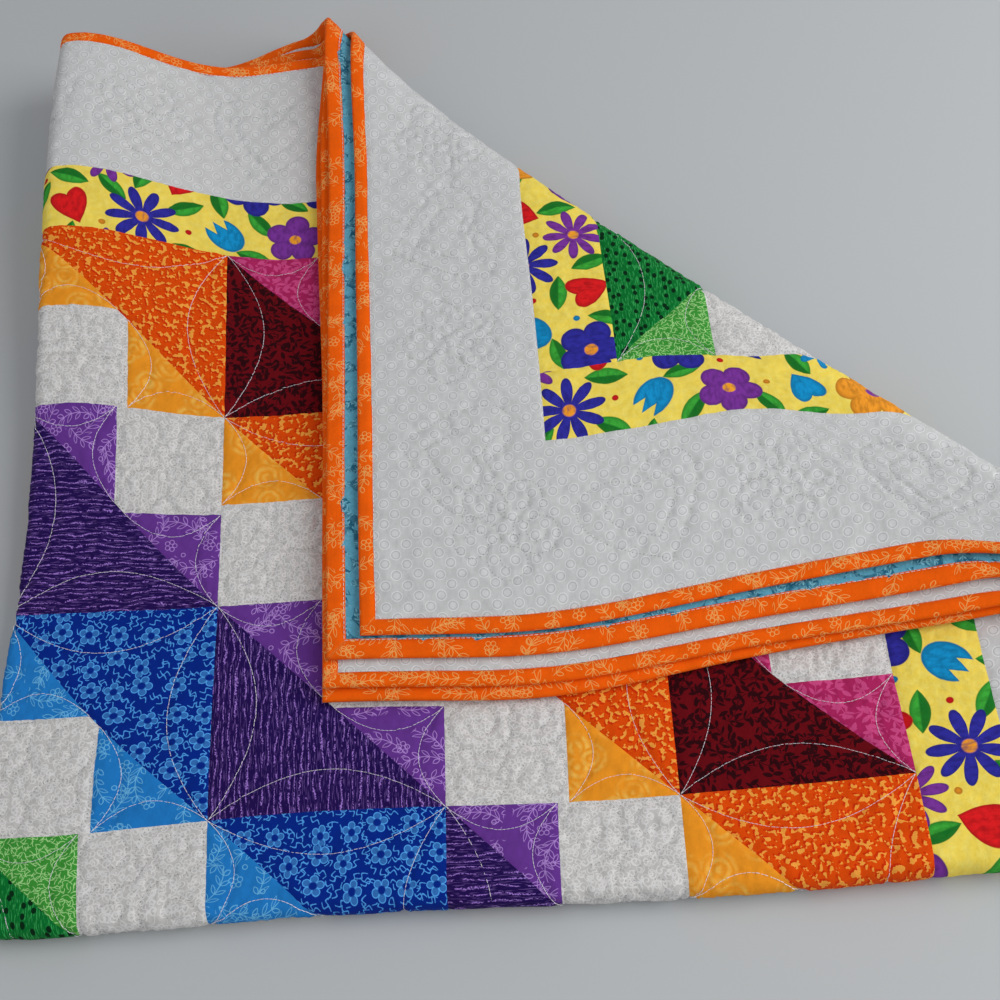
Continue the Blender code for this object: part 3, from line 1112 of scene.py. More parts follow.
    def leaf(self, x: Sock, y: Sock, long: float, wide: float) -> tuple[Sock, Sock]:
        """Lens-shaped leaf: how far a place lies past its edge, and whether it lies along it."""
        return abs(y) - wide * (1.0 - (x / long) * (x / long)), abs(x) < long * 1.04

    def leaves(self, place: Sock, size: float, long: float, wide: float) -> Sock:
        """Scattered filled leaves, each a lens shape at its own angle.

        Args:
            place: Where to look, in millimetres.
            size: Spacing of the leaves.
            long: Half their length.
            wide: Half their width.

        Returns:
            Mask of the leaves.
        """
        x, y = self.spun(place, size, 0.8)
        edge, beside = self.leaf(x, y, long, wide)
        return self.fill(edge) * beside

    def twigs(
        self, place: Sock, size: float, long: float, blade: float, filled: bool = False
    ) -> Sock:
        """Scattered twigs: a bowed stem with small leaves all along both sides.

        Args:
            place: Where to look, in millimetres.
            size: Spacing of the twigs.
            long: Half a twig's length.
            blade: Half a leaf's length.
            filled: Whether the leaves are filled or only outlined.

        Returns:
            Mask of the twigs.
        """
        x, y = self.spun(place, size, 0.5)
        y = y - x * x * (0.35 / long)
        run = self.maths("FLOORED_MODULO", x, blade * 2.0) - blade * 0.4
        side = abs(y)
        cos, sin = 0.73, 0.68
        lean_x, lean_y = run * cos + side * sin - blade * 1.15, side * cos - run * sin
        edge, beside = self.leaf(lean_x, lean_y, blade, blade * 0.34)
        drawn = self.fill(edge) if filled else self.line(edge, 0.21)
        twig = self.larger(self.line(y, 0.25), drawn * beside)
        return twig * self.step(abs(x), long, long * 0.92)

    def bloom(self, x: Sock, y: Sock, spin: Any, reach: float, petal: float) -> tuple[Sock, Sock]:
        """How far a place lies past the nearest of five round petals, and from the middle."""
        fifth = 2.0 * math.pi / 5.0
        angle = self.maths("ARCTAN2", y, x) + spin
        inside = self.maths("FLOORED_MODULO", angle, fifth) - fifth / 2.0
        radius = self.length(x, y)
        px, py = radius * self.maths("COSINE", inside), radius * self.maths("SINE", inside)
        return self.length(px - reach, py) - petal, radius

    def moved(self, place: Sock, by: float) -> Sock:
        """The same cloth seen from another place, so that a second layer of print differs."""
        return self.vector("ADD", place, (by, by * 0.7, 0.0))


def new_material(name: str) -> tuple[bpy.types.Material, Nodes]:
    """Start a material of the name given, with the writer of its node tree."""
    material = bpy.data.materials.new(name)
    material.use_nodes = True
    return material, Nodes(material)


def tone(red: float, green: float, blue: float) -> tuple[float, float, float, float]:
    """Linear colour from a screen colour of 0 to 255 a channel."""
    def channel(value: float) -> float:
        """Undo the screen's curve."""
        level = value / 255.0
        return level / 12.92 if level <= 0.04045 else ((level + 0.055) / 1.055) ** 2.4
    return (channel(red), channel(green), channel(blue), 1.0)


def dyed(red: float, green: float, blue: float) -> tuple[float, float, float, float]:
    """Dye whose cloth shows the screen colour given under the studio's light."""
    return tuple(min(1.3 * level, 0.93) for level in tone(red, green, blue)[:3]) + (1.0,)


@dataclass(frozen=True)
class Cotton:
    """A quilting cotton: a ground colour, a drawn colour and the print on it."""

    name: str
    ground: tuple[float, ...]
    drawn: tuple[float, ...]
    draw: Callable[[Nodes, Sock, "Cotton"], Sock]
    third: tuple[float, ...] = (0.0, 0.0, 0.0, 1.0)
    fade: float = 0.10
    roughness: float = 0.86
    sheen: float = 0.015
    sheen_roughness: float = 0.5
    specular: float = 0.08
    weave_rate: float = 14.0
    weave_share: float = 0.10
    bump_strength: float = 0.55
    bump_depth: float = 0.0006

    def material(self) -> bpy.types.Material:
        """Write the cloth's material: print, uneven dye, weave and thread nap."""
        material, nodes = new_material(self.name)
        place = nodes.cloth()
        printed = self.draw(nodes, place, self)
        dye = nodes.noise(place, size=9.0, detail=4.0, rough=0.6)
        faded = nodes.mix(nodes.step(dye, 0.25, 0.75) * self.fade, printed, (0.0, 0.0, 0.0, 1.0))
        x, y = nodes.parts(place)
        weave = nodes.maths("SINE", x * self.weave_rate) * nodes.maths("SINE", y * self.weave_rate)
        crumple = nodes.noise(place, size=2.4, detail=3.0, rough=0.6)
        height = weave * self.weave_share + crumple
        bump = nodes.add(
            "ShaderNodeBump", {},
            {"Strength": self.bump_strength, "Distance": self.bump_depth, "Height": height},
        )
        nodes.shade(
            Base_Color=faded, Roughness=self.roughness, Sheen_Weight=self.sheen,
            Sheen_Roughness=self.sheen_roughness, Specular_IOR_Level=self.specular,
            Normal=Sock(nodes, bump.outputs[0]),
        )
        return material


def draw_scrolls(nodes: Nodes, place: Sock, cloth: Cotton) -> Sock:
    """White curls on white: small spirals wound both ways, joined by thin lines, over a ground
    flecked with painted shade from the quilting's relief.
    """
    masks = [nodes.vines(place, 5.0, 0.035)]
    for shift, size, hand in ((0.0, 6.2, 1.0), (53.0, 7.0, -1.0)):
        local, spin, _ = nodes.cells(nodes.moved(place, shift), size, jitter=0.75)
        x, y = nodes.parts(local)
        radius = nodes.length(x, y)
        angle = nodes.maths("ARCTAN2", y, x) * hand
        turn = nodes.maths("SINE", angle + radius * 2.6 + spin * FULL_TURN)
        masks.append(nodes.step(turn, 0.30, 0.80) * nodes.step(radius, size * 0.48, size * 0.40))
    # painted shade: darker specks of the third tone stand for the small shadows of the quilted
    # relief
    shade = nodes.step(nodes.noise(place, size=1.9, detail=2.0), 0.54, 0.72) * 0.30
    return nodes.mix(nodes.larger(*masks), nodes.mix(shade, cloth.ground, cloth.third), cloth.drawn)


def draw_rings(nodes: Nodes, place: Sock, cloth: Cotton) -> Sock:
    """Rows of small rings round a pale spot, every other row set half way; a darker circle of
    painted shade edges each pale spot.
    """
    x, y = nodes.parts(place)
    across, along = 15.2, 7.4
    row = nodes.maths("FLOOR", y / along)
    half = nodes.maths("FLOORED_MODULO", row, 2.0)
    column = nodes.maths("FLOOR", (x + half * (across / 2)) / across)
    cx = column * across - half * (across / 2) + across / 2
    cy = row * along + along / 2
    drift = nodes.noise(nodes.join(cx * 0.7, cy * 0.7), size=3.0, detail=0.0)
    far = nodes.length(x - cx + (drift - 0.5) * 2.0, y - cy)
    ring = nodes.line(far - 3.55, width=0.30, soft=0.25)
    pale = nodes.larger(ring, nodes.step(far, 2.5, 1.9) * 0.4)
    lit = nodes.mix(pale, cloth.ground, cloth.drawn)
    # painted shade: the darker circle just inside each ring stands for the shadow edge of the pale
    # spot
    return nodes.mix(nodes.line(far - 2.75, width=0.24, soft=0.25) * 0.75, lit, cloth.third)


def draw_vines(nodes: Nodes, place: Sock, cloth: Cotton) -> Sock:
    """Leafy twigs, open flowers and round berries, all in thin lines."""
    twigs = nodes.twigs(place, size=27.0, long=14.0, blade=3.2)
    more = nodes.twigs(nodes.moved(place, 37.0), size=38.0, long=17.0, blade=3.5)
    local, spin, pick = nodes.cells(nodes.moved(place, 71.0), size=15.0, jitter=0.7)
    x, y = nodes.parts(local)
    edge, radius = nodes.bloom(x, y, spin * FULL_TURN, reach=2.9, petal=1.6)
    flower = nodes.line(edge, width=0.22) * (pick > 0.76)
    berry = nodes.line(radius - 1.5, width=0.24) * (pick < 0.24)
    return nodes.mix(nodes.larger(twigs, more, flower, berry) * 0.72, cloth.ground, cloth.drawn)


def draw_coral(nodes: Nodes, place: Sock, cloth: Cotton) -> Sock:
    """Branching pale blots, each with a deep shadow to one side."""
    shape = nodes.noise(place, size=4.2, detail=1.7, rough=0.62)
    beside = nodes.vector("ADD", place, (1.2, -1.0, 0.0))
    shadow = nodes.noise(beside, size=4.2, detail=1.7, rough=0.62)
    ground = nodes.mix(nodes.step(shadow, 0.53, 0.60), cloth.ground, cloth.third)
    return nodes.mix(nodes.step(shape, 0.568, 0.590), ground, cloth.drawn)


def draw_pools(nodes: Nodes, place: Sock, cloth: Cotton) -> Sock:
    """Soft rings like ripples in a pool, hardly lighter than the ground."""
    local, spin, _ = nodes.cells(place, size=24.0, jitter=0.8)
    x, y = nodes.parts(local)
    wobble = nodes.noise(place, size=8.0, detail=2.0)
    radius = nodes.length(x, y) + wobble * 5.0
    ring = nodes.maths("SINE", radius * 1.15 + spin * 6.0) * 0.5 + 0.5
    soft = ring * nodes.step(wobble, 0.2, 0.7) * nodes.step(nodes.length(x, y), 14.0, 8.0)
    return nodes.mix(soft * 0.9, cloth.ground, cloth.drawn)


def draw_leafage(nodes: Nodes, place: Sock, cloth: Cotton) -> Sock:
    """Dense filled leaves and leafy twigs."""
    leaves = nodes.leaves(place, size=9.0, long=3.8, wide=1.6)
    twigs = nodes.twigs(nodes.moved(place, 57.0), size=15.0, long=8.5, blade=3.1, filled=True)
    more = nodes.twigs(nodes.moved(place, 23.0), size=19.0, long=10.0, blade=3.3, filled=True)
    return nodes.mix(nodes.larger(leaves, twigs, more) * 0.9, cloth.ground, cloth.drawn)


def draw_bark(nodes: Nodes, place: Sock, cloth: Cotton) -> Sock:
    """Ragged broken streaks that run one way, like bark or rain on a window."""
    x, y = nodes.parts(place)
    sway = nodes.stretched(x, y, wide=24.0, high=9.0, detail=1.0)
    rough = nodes.stretched(x, y, wide=1.5, high=3.0, detail=2.0, rough=0.6)
    pitch = 4.3
    across = (y + sway * 6.0 + (rough - 0.5) * 1.7) / pitch
    row = nodes.maths("FLOOR", across)
    gate = nodes.noise(nodes.join(x / 9.0 + row * 5.3, row * 7.1), size=1.0, detail=2.0, rough=0.7)
    band = nodes.line((across - row - 0.5) * pitch, width=0.33, soft=0.18)
    grit = nodes.step(nodes.stretched(x, y, wide=1.2, high=0.9, detail=1.0), 0.36, 0.50)
    hair = nodes.step(nodes.stretched(x, y, wide=9.0, high=0.6, detail=2.0), 0.58, 0.66) * 0.30
    streaks = band * grit * nodes.step(gate, 0.38, 0.46)
    return nodes.mix(nodes.larger(streaks, hair), cloth.ground, cloth.drawn)


def draw_blossoms(nodes: Nodes, place: Sock, cloth: Cotton) -> Sock:
    """Five-petalled outlined flowers, with angular squiggles between them."""
    local, spin, pick = nodes.cells(place, size=20.5, jitter=0.5)
    spread = nodes.join(0.80 + pick * 0.26, 0.92 + spin * 0.2)
    x, y = nodes.parts(nodes.vector("DIVIDE", local, spread))
    edge, radius = nodes.bloom(x, y, spin * FULL_TURN, reach=4.4, petal=2.35)
    curl, _ = nodes.bloom(x, y, spin * FULL_TURN, reach=4.2, petal=0.95)
    fill = nodes.fill(edge, soft=0.1) * nodes.step(radius, 1.8, 3.4) * 0.36
    outline = nodes.line(edge, width=0.30, soft=0.16) * nodes.step(radius, 2.2, 3.0)
    masks = [outline, nodes.line(curl, width=0.20, soft=0.15) * 0.22, fill]
    clear = nodes.step(radius, 6.9, 7.5)
    for shift, size in ((19.0, 8.4), (83.0, 9.6)):
        x, y = nodes.spun(nodes.moved(place, shift), size, jitter=0.8)
        wave = nodes.maths("SINE", x * 1.25) * 1.15 + nodes.maths("SINE", x * 2.9) * 0.12
        squiggle = nodes.line(y - wave, width=0.44, soft=0.18) * nodes.step(abs(x), 3.9, 3.5)
        masks.append(squiggle * clear * 0.9)
    return nodes.mix(nodes.larger(*masks), cloth.ground, cloth.drawn)


def draw_meadow(nodes: Nodes, place: Sock, cloth: Cotton) -> Sock:
    """Dark oval dots among light upright strokes."""
    x, y = nodes.parts(place)
    local, _, _ = nodes.cells(place, size=8.0, jitter=0.8)
    lx, ly = nodes.parts(local)
    dots = nodes.step(nodes.length(lx, ly * 0.75), 1.85, 1.40)
    strokes = nodes.step(nodes.stretched(x, y, wide=0.8, high=6.0, detail=1.0), 0.54, 0.66) * 0.75
    return nodes.mix(dots, nodes.mix(strokes, cloth.ground, cloth.drawn), cloth.third)


def draw_sprigs(nodes: Nodes, place: Sock, cloth: Cotton) -> Sock:
    """Dense pale sprigs: short strokes that branch every way."""
    masks = []
    for shift, size in ((0.0, 3.8), (41.0, 4.6), (83.0, 5.4)):
        x, y = nodes.spun(nodes.moved(place, shift), size, jitter=1.0)
        stroke = nodes.line(y + x * x * 0.14, width=0.25)
        masks.append(stroke * nodes.step(abs(x), size * 0.55, size * 0.45))
    return nodes.mix(nodes.larger(*masks) * 0.8, cloth.ground, cloth.drawn)


def draw_mottle(nodes: Nodes, place: Sock, cloth: Cotton) -> Sock:
    """Broad pale leaves over a dark ground of fern strokes."""
    wash = nodes.step(nodes.noise(place, size=5.0, detail=4.0, rough=0.65), 0.35, 0.70)
    ferns = nodes.twigs(place, size=8.0, long=4.6, blade=1.7, filled=True)
    ground = nodes.mix(nodes.larger(ferns * 0.75, wash * 0.35), cloth.ground, cloth.third)
    broad = nodes.leaves(nodes.moved(place, 57.0), size=14.0, long=8.0, wide=3.8)
    more = nodes.leaves(nodes.moved(place, 29.0), size=17.0, long=8.5, wide=3.6)
    return nodes.mix(nodes.larger(broad, more) * (0.95 - wash * 0.4), ground, cloth.drawn)


class Motif(Enum):
    """Ordinary motifs of the floral strip."""

    FLOWER = 1
    DAISY = 2
    RING = 3
    TULIP = 4
    HEART = 5
    LEAF = 6
    DOT = 7


PAINTS: dict[str, tuple[float, float, float, float]] = {
    "orange": tone(250, 160, 44),
    "navy": tone(50, 48, 160),
    "purple": tone(128, 56, 160),
    "teal": tone(20, 150, 210),
    "red": tone(232, 30, 34),
    "green": tone(64, 176, 60),
    "deep": tone(10, 104, 34),
    "gold": tone(255, 170, 40),
}

LEAVES: tuple[tuple[float, float, float, float], ...] = (
    # x, y, size, turn (millimetres and radians)
    (35, 18, 11, 1.0),
    (50, 30, 10, -0.3),
    (70, 27, 9, 2.4),
    (103, 24, 10, 0.5),
    (119, 33, 10, 1.8),
    (139, 22, 10, -0.9),
    (173, 22, 10, 0.9),
    (155, 35, 9, 2.6),
    (190, 27, 9, -0.4),
    (17, 37, 10, 0.2),
    (50, 51, 10, 1.3),
    (84, 38, 10, 1.2),
    (102, 55, 10, 0.1),
    (136, 1, 9, 2.9),
    (188, 53, 9, 1.0),
)
DOTS: tuple[tuple[float, float, float, str], ...] = (
    # x, y, size, paint (millimetres)
    (38, 29, 1.5, "red"),
    (66, 5, 1.6, "orange"),
    (105, 10, 1.5, "red"),
    (118, 48, 1.6, "teal"),
    (173, 8, 1.5, "orange"),
    (154, 52, 1.5, "red"),
    (17, 49, 1.5, "teal"),
)
MOTIFS: tuple[tuple[Motif, float, float, float, float, str, str], ...] = (
    # motif, x, y, size, turn, paint, heart of it (millimetres and radians)
    *((Motif.LEAF, *leaf, "green", "deep") for leaf in LEAVES),
    (Motif.FLOWER, 14, 14, 17, 0.2, "orange", "purple"),
    (Motif.HEART, 52, 12, 11, 0.4, "red", "red"),
    (Motif.DAISY, 84, 13, 17, 0.5, "navy", "orange"),
    (Motif.TULIP, 121, 14, 12, 0.7, "teal", "teal"),
    (Motif.FLOWER, 156, 13, 15, 0.8, "purple", "gold"),
    (Motif.HEART, 189, 10, 9.5, -0.5, "teal", "teal"),
    (Motif.RING, 33, 43, 10.5, 0.0, "purple", "gold"),
    (Motif.DAISY, 67, 44, 15, 0.1, "purple", "gold"),
    (Motif.HEART, 101, 40, 11, -0.4, "red", "red"),
    (Motif.FLOWER, 136, 43, 16, 0.4, "navy", "orange"),
    (Motif.TULIP, 172, 42, 12, -0.8, "navy", "navy"),
    (Motif.DAISY, 201, 43, 15, 0.3, "teal", "gold"),
    *((Motif.DOT, x, y, size, 0.0, paint, paint) for x, y, size, paint in DOTS),
)

REPEAT = (205.0, 57.15)
PRINT_SCALE = 0.62
EDGE_SHADE = 0.42


def motif_edge(nodes: Nodes, x: Sock, y: Sock, kind: Motif, size: float) -> tuple[Sock, Any]:
    """Draw one motif of the floral cloth about zero.

    Args:
        nodes: The material's nodes.
        x: Place across, in millimetres.
        y: Place along, in millimetres.
        kind: Which motif.
        size: Its radius.

    Returns:
        How far a place lies past the motif's edge, and the mask of its heart.
    """
    radius = nodes.length(x, y)
    if kind is Motif.DOT:
        return radius - size, 0.0
    if kind is Motif.RING:
        return radius - size, nodes.step(radius, size * 0.36, size * 0.3)
    if kind is Motif.FLOWER:
        petals, _ = nodes.bloom(x, y, 0.0, size * 0.58, size * 0.40)
        edge = nodes.smaller(petals, radius - size * 0.5)
        return edge, nodes.step(radius, size * 0.22, size * 0.17)
    if kind is Motif.DAISY:
        lobe = abs(nodes.maths("COSINE", nodes.maths("ARCTAN2", y, x) * 4.5))
        edge = radius - size * (0.26 + 0.74 * lobe ** 0.8)
        return edge, nodes.step(radius, size * 0.2, size * 0.15)
    if kind is Motif.LEAF:
        edge, beside = nodes.leaf(x, y, size, size * 0.42)
        return edge + (1.0 - beside) * 9.0, nodes.step(y, -0.5, 0.5) * 0.9
    if kind is Motif.HEART:
        dip = y / size - abs(x / size) ** 0.8 * 0.75 + 0.15
        return (nodes.length(x / size, dip) - 0.8) * size, 0.0
    ellipse = nodes.length(x, y * 0.75 + size * 0.1) - size * 0.68
    wave = 1.0 - abs(nodes.maths("FRACT", x * (2.0 / size) + 0.5) - 0.5) * 2.0
    return nodes.larger(ellipse, y - size * (0.05 + 0.6 * wave)), 0.0


def draw_flowers(nodes: Nodes, place: Sock, cloth: Cotton) -> Sock:
    """Plain motifs on yellow, painted one over another, each darker at its edge."""
    place = nodes.scale(place, (PRINT_SCALE, PRINT_SCALE, 1.0))
    x, y = nodes.parts(place)
    wash = nodes.noise(place, size=3.0, detail=3.0, rough=0.6)
    colour = nodes.mix(nodes.step(wash, 0.3, 0.8) * 0.5, cloth.ground, cloth.drawn)
    stroke = nodes.noise(nodes.scale(place, (1.0, 0.45, 1.0)), size=2.0, detail=3.0)
    brush = nodes.step(stroke, 0.38, 0.72) * 0.55
    for kind, cx, cy, size, turn, paint, core in MOTIFS:
        c, s = math.cos(turn), math.sin(turn)
        dx, dy = (
            nodes.maths("FLOORED_MODULO", at - (centre - full / 2), full) - full / 2
            for at, centre, full in ((x, cx, REPEAT[0]), (y, cy, REPEAT[1]))
        )
        edge, heart = motif_edge(nodes, dx * c + dy * s, dy * c - dx * s, kind, size)
        deep = tuple(EDGE_SHADE * v for v in PAINTS[paint][:3]) + (1.0,)
        dark = nodes.larger(brush, nodes.step(edge, -2.6, 0.2) * 0.75)
        body = nodes.mix(dark, nodes.mix(heart, PAINTS[paint], PAINTS[core]), deep)
        colour = nodes.mix(nodes.fill(edge, soft=0.25), colour, body)
    return colour


COTTONS: dict[Fabric, Cotton] = {
    # the white cloth's third tone is the painted shade of its quilted relief
    Fabric.WHITE: Cotton(
        "white_scroll_cotton",
        tone(201, 199, 196), tone(226, 224, 222), draw_scrolls, tone(182, 179, 176),
    ),
    # the ring cloth's third tone is the painted shade round its pale spots
    Fabric.DOTS: Cotton(
        "white_ring_cotton",
        tone(205, 205, 204), tone(226, 227, 227), draw_rings, tone(180, 180, 179),
    ),
    Fabric.FLORAL: Cotton("floral_cotton", dyed(228, 194, 76), dyed(234, 208, 112), draw_flowers),
    Fabric.DARK_0: Cotton("maroon_leaf_cotton", dyed(92, 4, 13), dyed(26, 1, 6), draw_leafage),
    Fabric.LIGHT_0: Cotton("pink_leaf_cotton", dyed(156, 32, 84), dyed(186, 68, 120), draw_leafage),
    Fabric.DARK_1: Cotton(
        "orange_coral_cotton",
        dyed(202, 66, 2), dyed(226, 144, 56), draw_coral, dyed(186, 42, 1),
    ),
    Fabric.LIGHT_1: Cotton("honey_pool_cotton", dyed(214, 134, 30), dyed(228, 170, 74), draw_pools),
    Fabric.DARK_2: Cotton("purple_bark_cotton", dyed(28, 9, 70), dyed(150, 112, 194), draw_bark),
    Fabric.LIGHT_2: Cotton("lilac_vine_cotton", dyed(92, 48, 130), dyed(186, 148, 216), draw_vines),
    Fabric.DARK_3: Cotton(
        "blue_blossom_cotton",
        dyed(0, 34, 122), dyed(76, 154, 222), draw_blossoms,
    ),
    Fabric.LIGHT_3: Cotton("sky_vine_cotton", dyed(28, 110, 178), dyed(116, 186, 230), draw_vines),
    Fabric.DARK_4: Cotton(
        "green_meadow_cotton",
        dyed(2, 98, 38), dyed(54, 154, 80), draw_meadow, dyed(1, 36, 15),
    ),
    Fabric.LIGHT_4: Cotton(
        "leaf_sprig_cotton",
        dyed(54, 134, 48), dyed(166, 212, 140), draw_sprigs,
    ),
}
TEAL = Cotton(
    "teal_mottle_cotton",
    dyed(30, 92, 118), dyed(88, 156, 180), draw_mottle, dyed(128, 194, 212),
)
BINDING_CLOTH = Cotton("orange_vine_cotton", dyed(220, 86, 4), dyed(250, 176, 100), draw_vines)


@dataclass
class Backing:
    """The teal cloth on the quilt's other side."""

    cell: float = 0.00762
    inset: float = 0.0095
    flat_edge: float = 0.014
    edge_ease: float = 0.008
    lowest: float = -0.0012
    highest: float = 0.0004
    share: float = 0.6
    edge_lift: float = 0.0003

    def build(self, relief: Relief) -> bpy.types.Object:
        """Build the backing as one sheet on a regular grid.

        Args:
            relief: The quilting, which shows on this side too.

        Returns:
            The piece.
        """
        half = np.array([SIZE.half_w - self.inset, SIZE.half_h - self.inset])
        count = np.round(2 * half / self.cell).astype(int)
        u = np.linspace(-half[0], half[0], count[0] + 1)
        v = np.linspace(-half[1], half[1], count[1] + 1)
        grid = np.stack(np.meshgrid(u, v, indexing="ij"), axis=-1).reshape(-1, 2)
        number = np.arange(len(grid)).reshape(count[0] + 1, count[1] + 1)
        a, b, c, d = cell_corners(number)
        quads = np.column_stack((a.ravel(), d.ravel(), c.ravel(), b.ravel()))
        edge = np.min(half + self.inset - np.abs(grid), axis=1)
        inner = ease((edge - self.flat_edge) / self.edge_ease)
        quilted = np.clip(relief.at(grid), self.lowest, self.highest) * self.share
        sunk = quilted * inner - self.edge_lift * (1.0 - inner)
        item = make_mesh("teal_backing", FOLDING.place(grid, -SIZE.thick / 2 - sunk), [quads])
        set_map(item, "Cloth", grid)
        set_map(item, "OFBake", (grid + half) / (2 * half))
        item.data.materials.append(TEAL.material())
        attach(item, "root")
        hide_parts("backing")
        log.info("teal_backing: %d faces", len(quads))
        return item


@dataclass
class Binding:
    """The orange binding: one folded strip round all four edges, mitred at the corners."""

    width: float = 0.0105
    back: float = 0.0138
    step: float = 0.0030
    half: float = 0.00262
    nose_points: int = 7
    lip_shares: tuple[float, ...] = (1.025, 0.97, 0.62)
    lip_rises: tuple[float, ...] = (-0.0015, -0.0001, 0.0001)
    pucker: float = 0.16
    pucker_out: float = 0.09
    pucker_steps: int = 3
    pucker_from: float = 0.001

    def profile(self) -> tuple[np.ndarray, np.ndarray]:
        """Section of the binding: flat lips, the one behind wider, and a round nose.

        Returns:
            Distances in from the edge, and offsets.
        """
        turn = np.linspace(math.pi / 2, -math.pi / 2, self.nose_points)
        inward = self.half - self.half * np.cos(turn)
        offset = self.half * np.sin(turn)
        share = np.array(self.lip_shares)
        rise = self.half + np.array(self.lip_rises)
        return (np.concatenate((self.width * share, inward, self.back * share[::-1])),
                np.concatenate((rise, offset, -rise[::-1])))

    def build(self) -> bpy.types.Object:
        """Sweep the section round the edges and join it into a ring.

        Returns:
            The piece.
        """
        inward, offset = self.profile()
        size = len(inward)
        girth = np.concatenate(([0.0], np.cumsum(np.hypot(np.diff(inward), np.diff(offset)))))
        flats, offsets, places = [], [], []
        run = 0.0
        rng = np.random.default_rng(9)
        for axis, sign, way in ((1, -1, 1), (0, 1, 1), (1, 1, -1), (0, -1, -1)):
            edge, half = (SIZE.half_w, SIZE.half_h) if axis == 0 else (SIZE.half_h, SIZE.half_w)
            count = round(2 * half / self.step)
            along = way * np.linspace(-half, half, count + 1)[:-1]
            marks = np.arange(0, count + self.pucker_steps, self.pucker_steps)
            wave = np.interp(np.arange(count), marks, rng.uniform(-1.0, 1.0, len(marks)))
            place = along[:, None] * (half - inward[None, :]) / half
            across = np.broadcast_to(sign * (edge - inward[None, :]), place.shape)
            pair = (across, place) if axis == 0 else (place, across)
            flats.append(np.stack(pair, axis=-1).reshape(-1, 2))
            swell = np.clip(self.pucker * wave[:, None], -self.pucker, self.pucker_out)
            pucker = 1.0 + swell * (inward[None, :] > self.pucker_from)
            offsets.append((offset[None, :] * pucker).ravel())
            printed = np.broadcast_arrays(run + half + way * place, girth[None, :])
            places.append(np.stack(printed, axis=-1).reshape(-1, 2))
            run += 2 * half
        flat, lift = np.vstack(flats), np.concatenate(offsets)
        total = len(flat) // size
        ring = np.arange(total)[:, None] * size + np.arange(size - 1)[None, :]
        after = (np.arange(total)[:, None] + 1) % total * size + np.arange(size - 1)[None, :]
        quads = np.column_stack((ring.ravel(), ring.ravel() + 1, after.ravel() + 1, after.ravel()))
        item = make_mesh("orange_binding", FOLDING.place(flat, lift), [quads])
        set_map(item, "Cloth", np.vstack(places))
        item.data.materials.append(BINDING_CLOTH.material())
        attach(item, "root")
        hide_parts("binding")
        log.info("orange_binding: %d faces", len(quads))
        return item


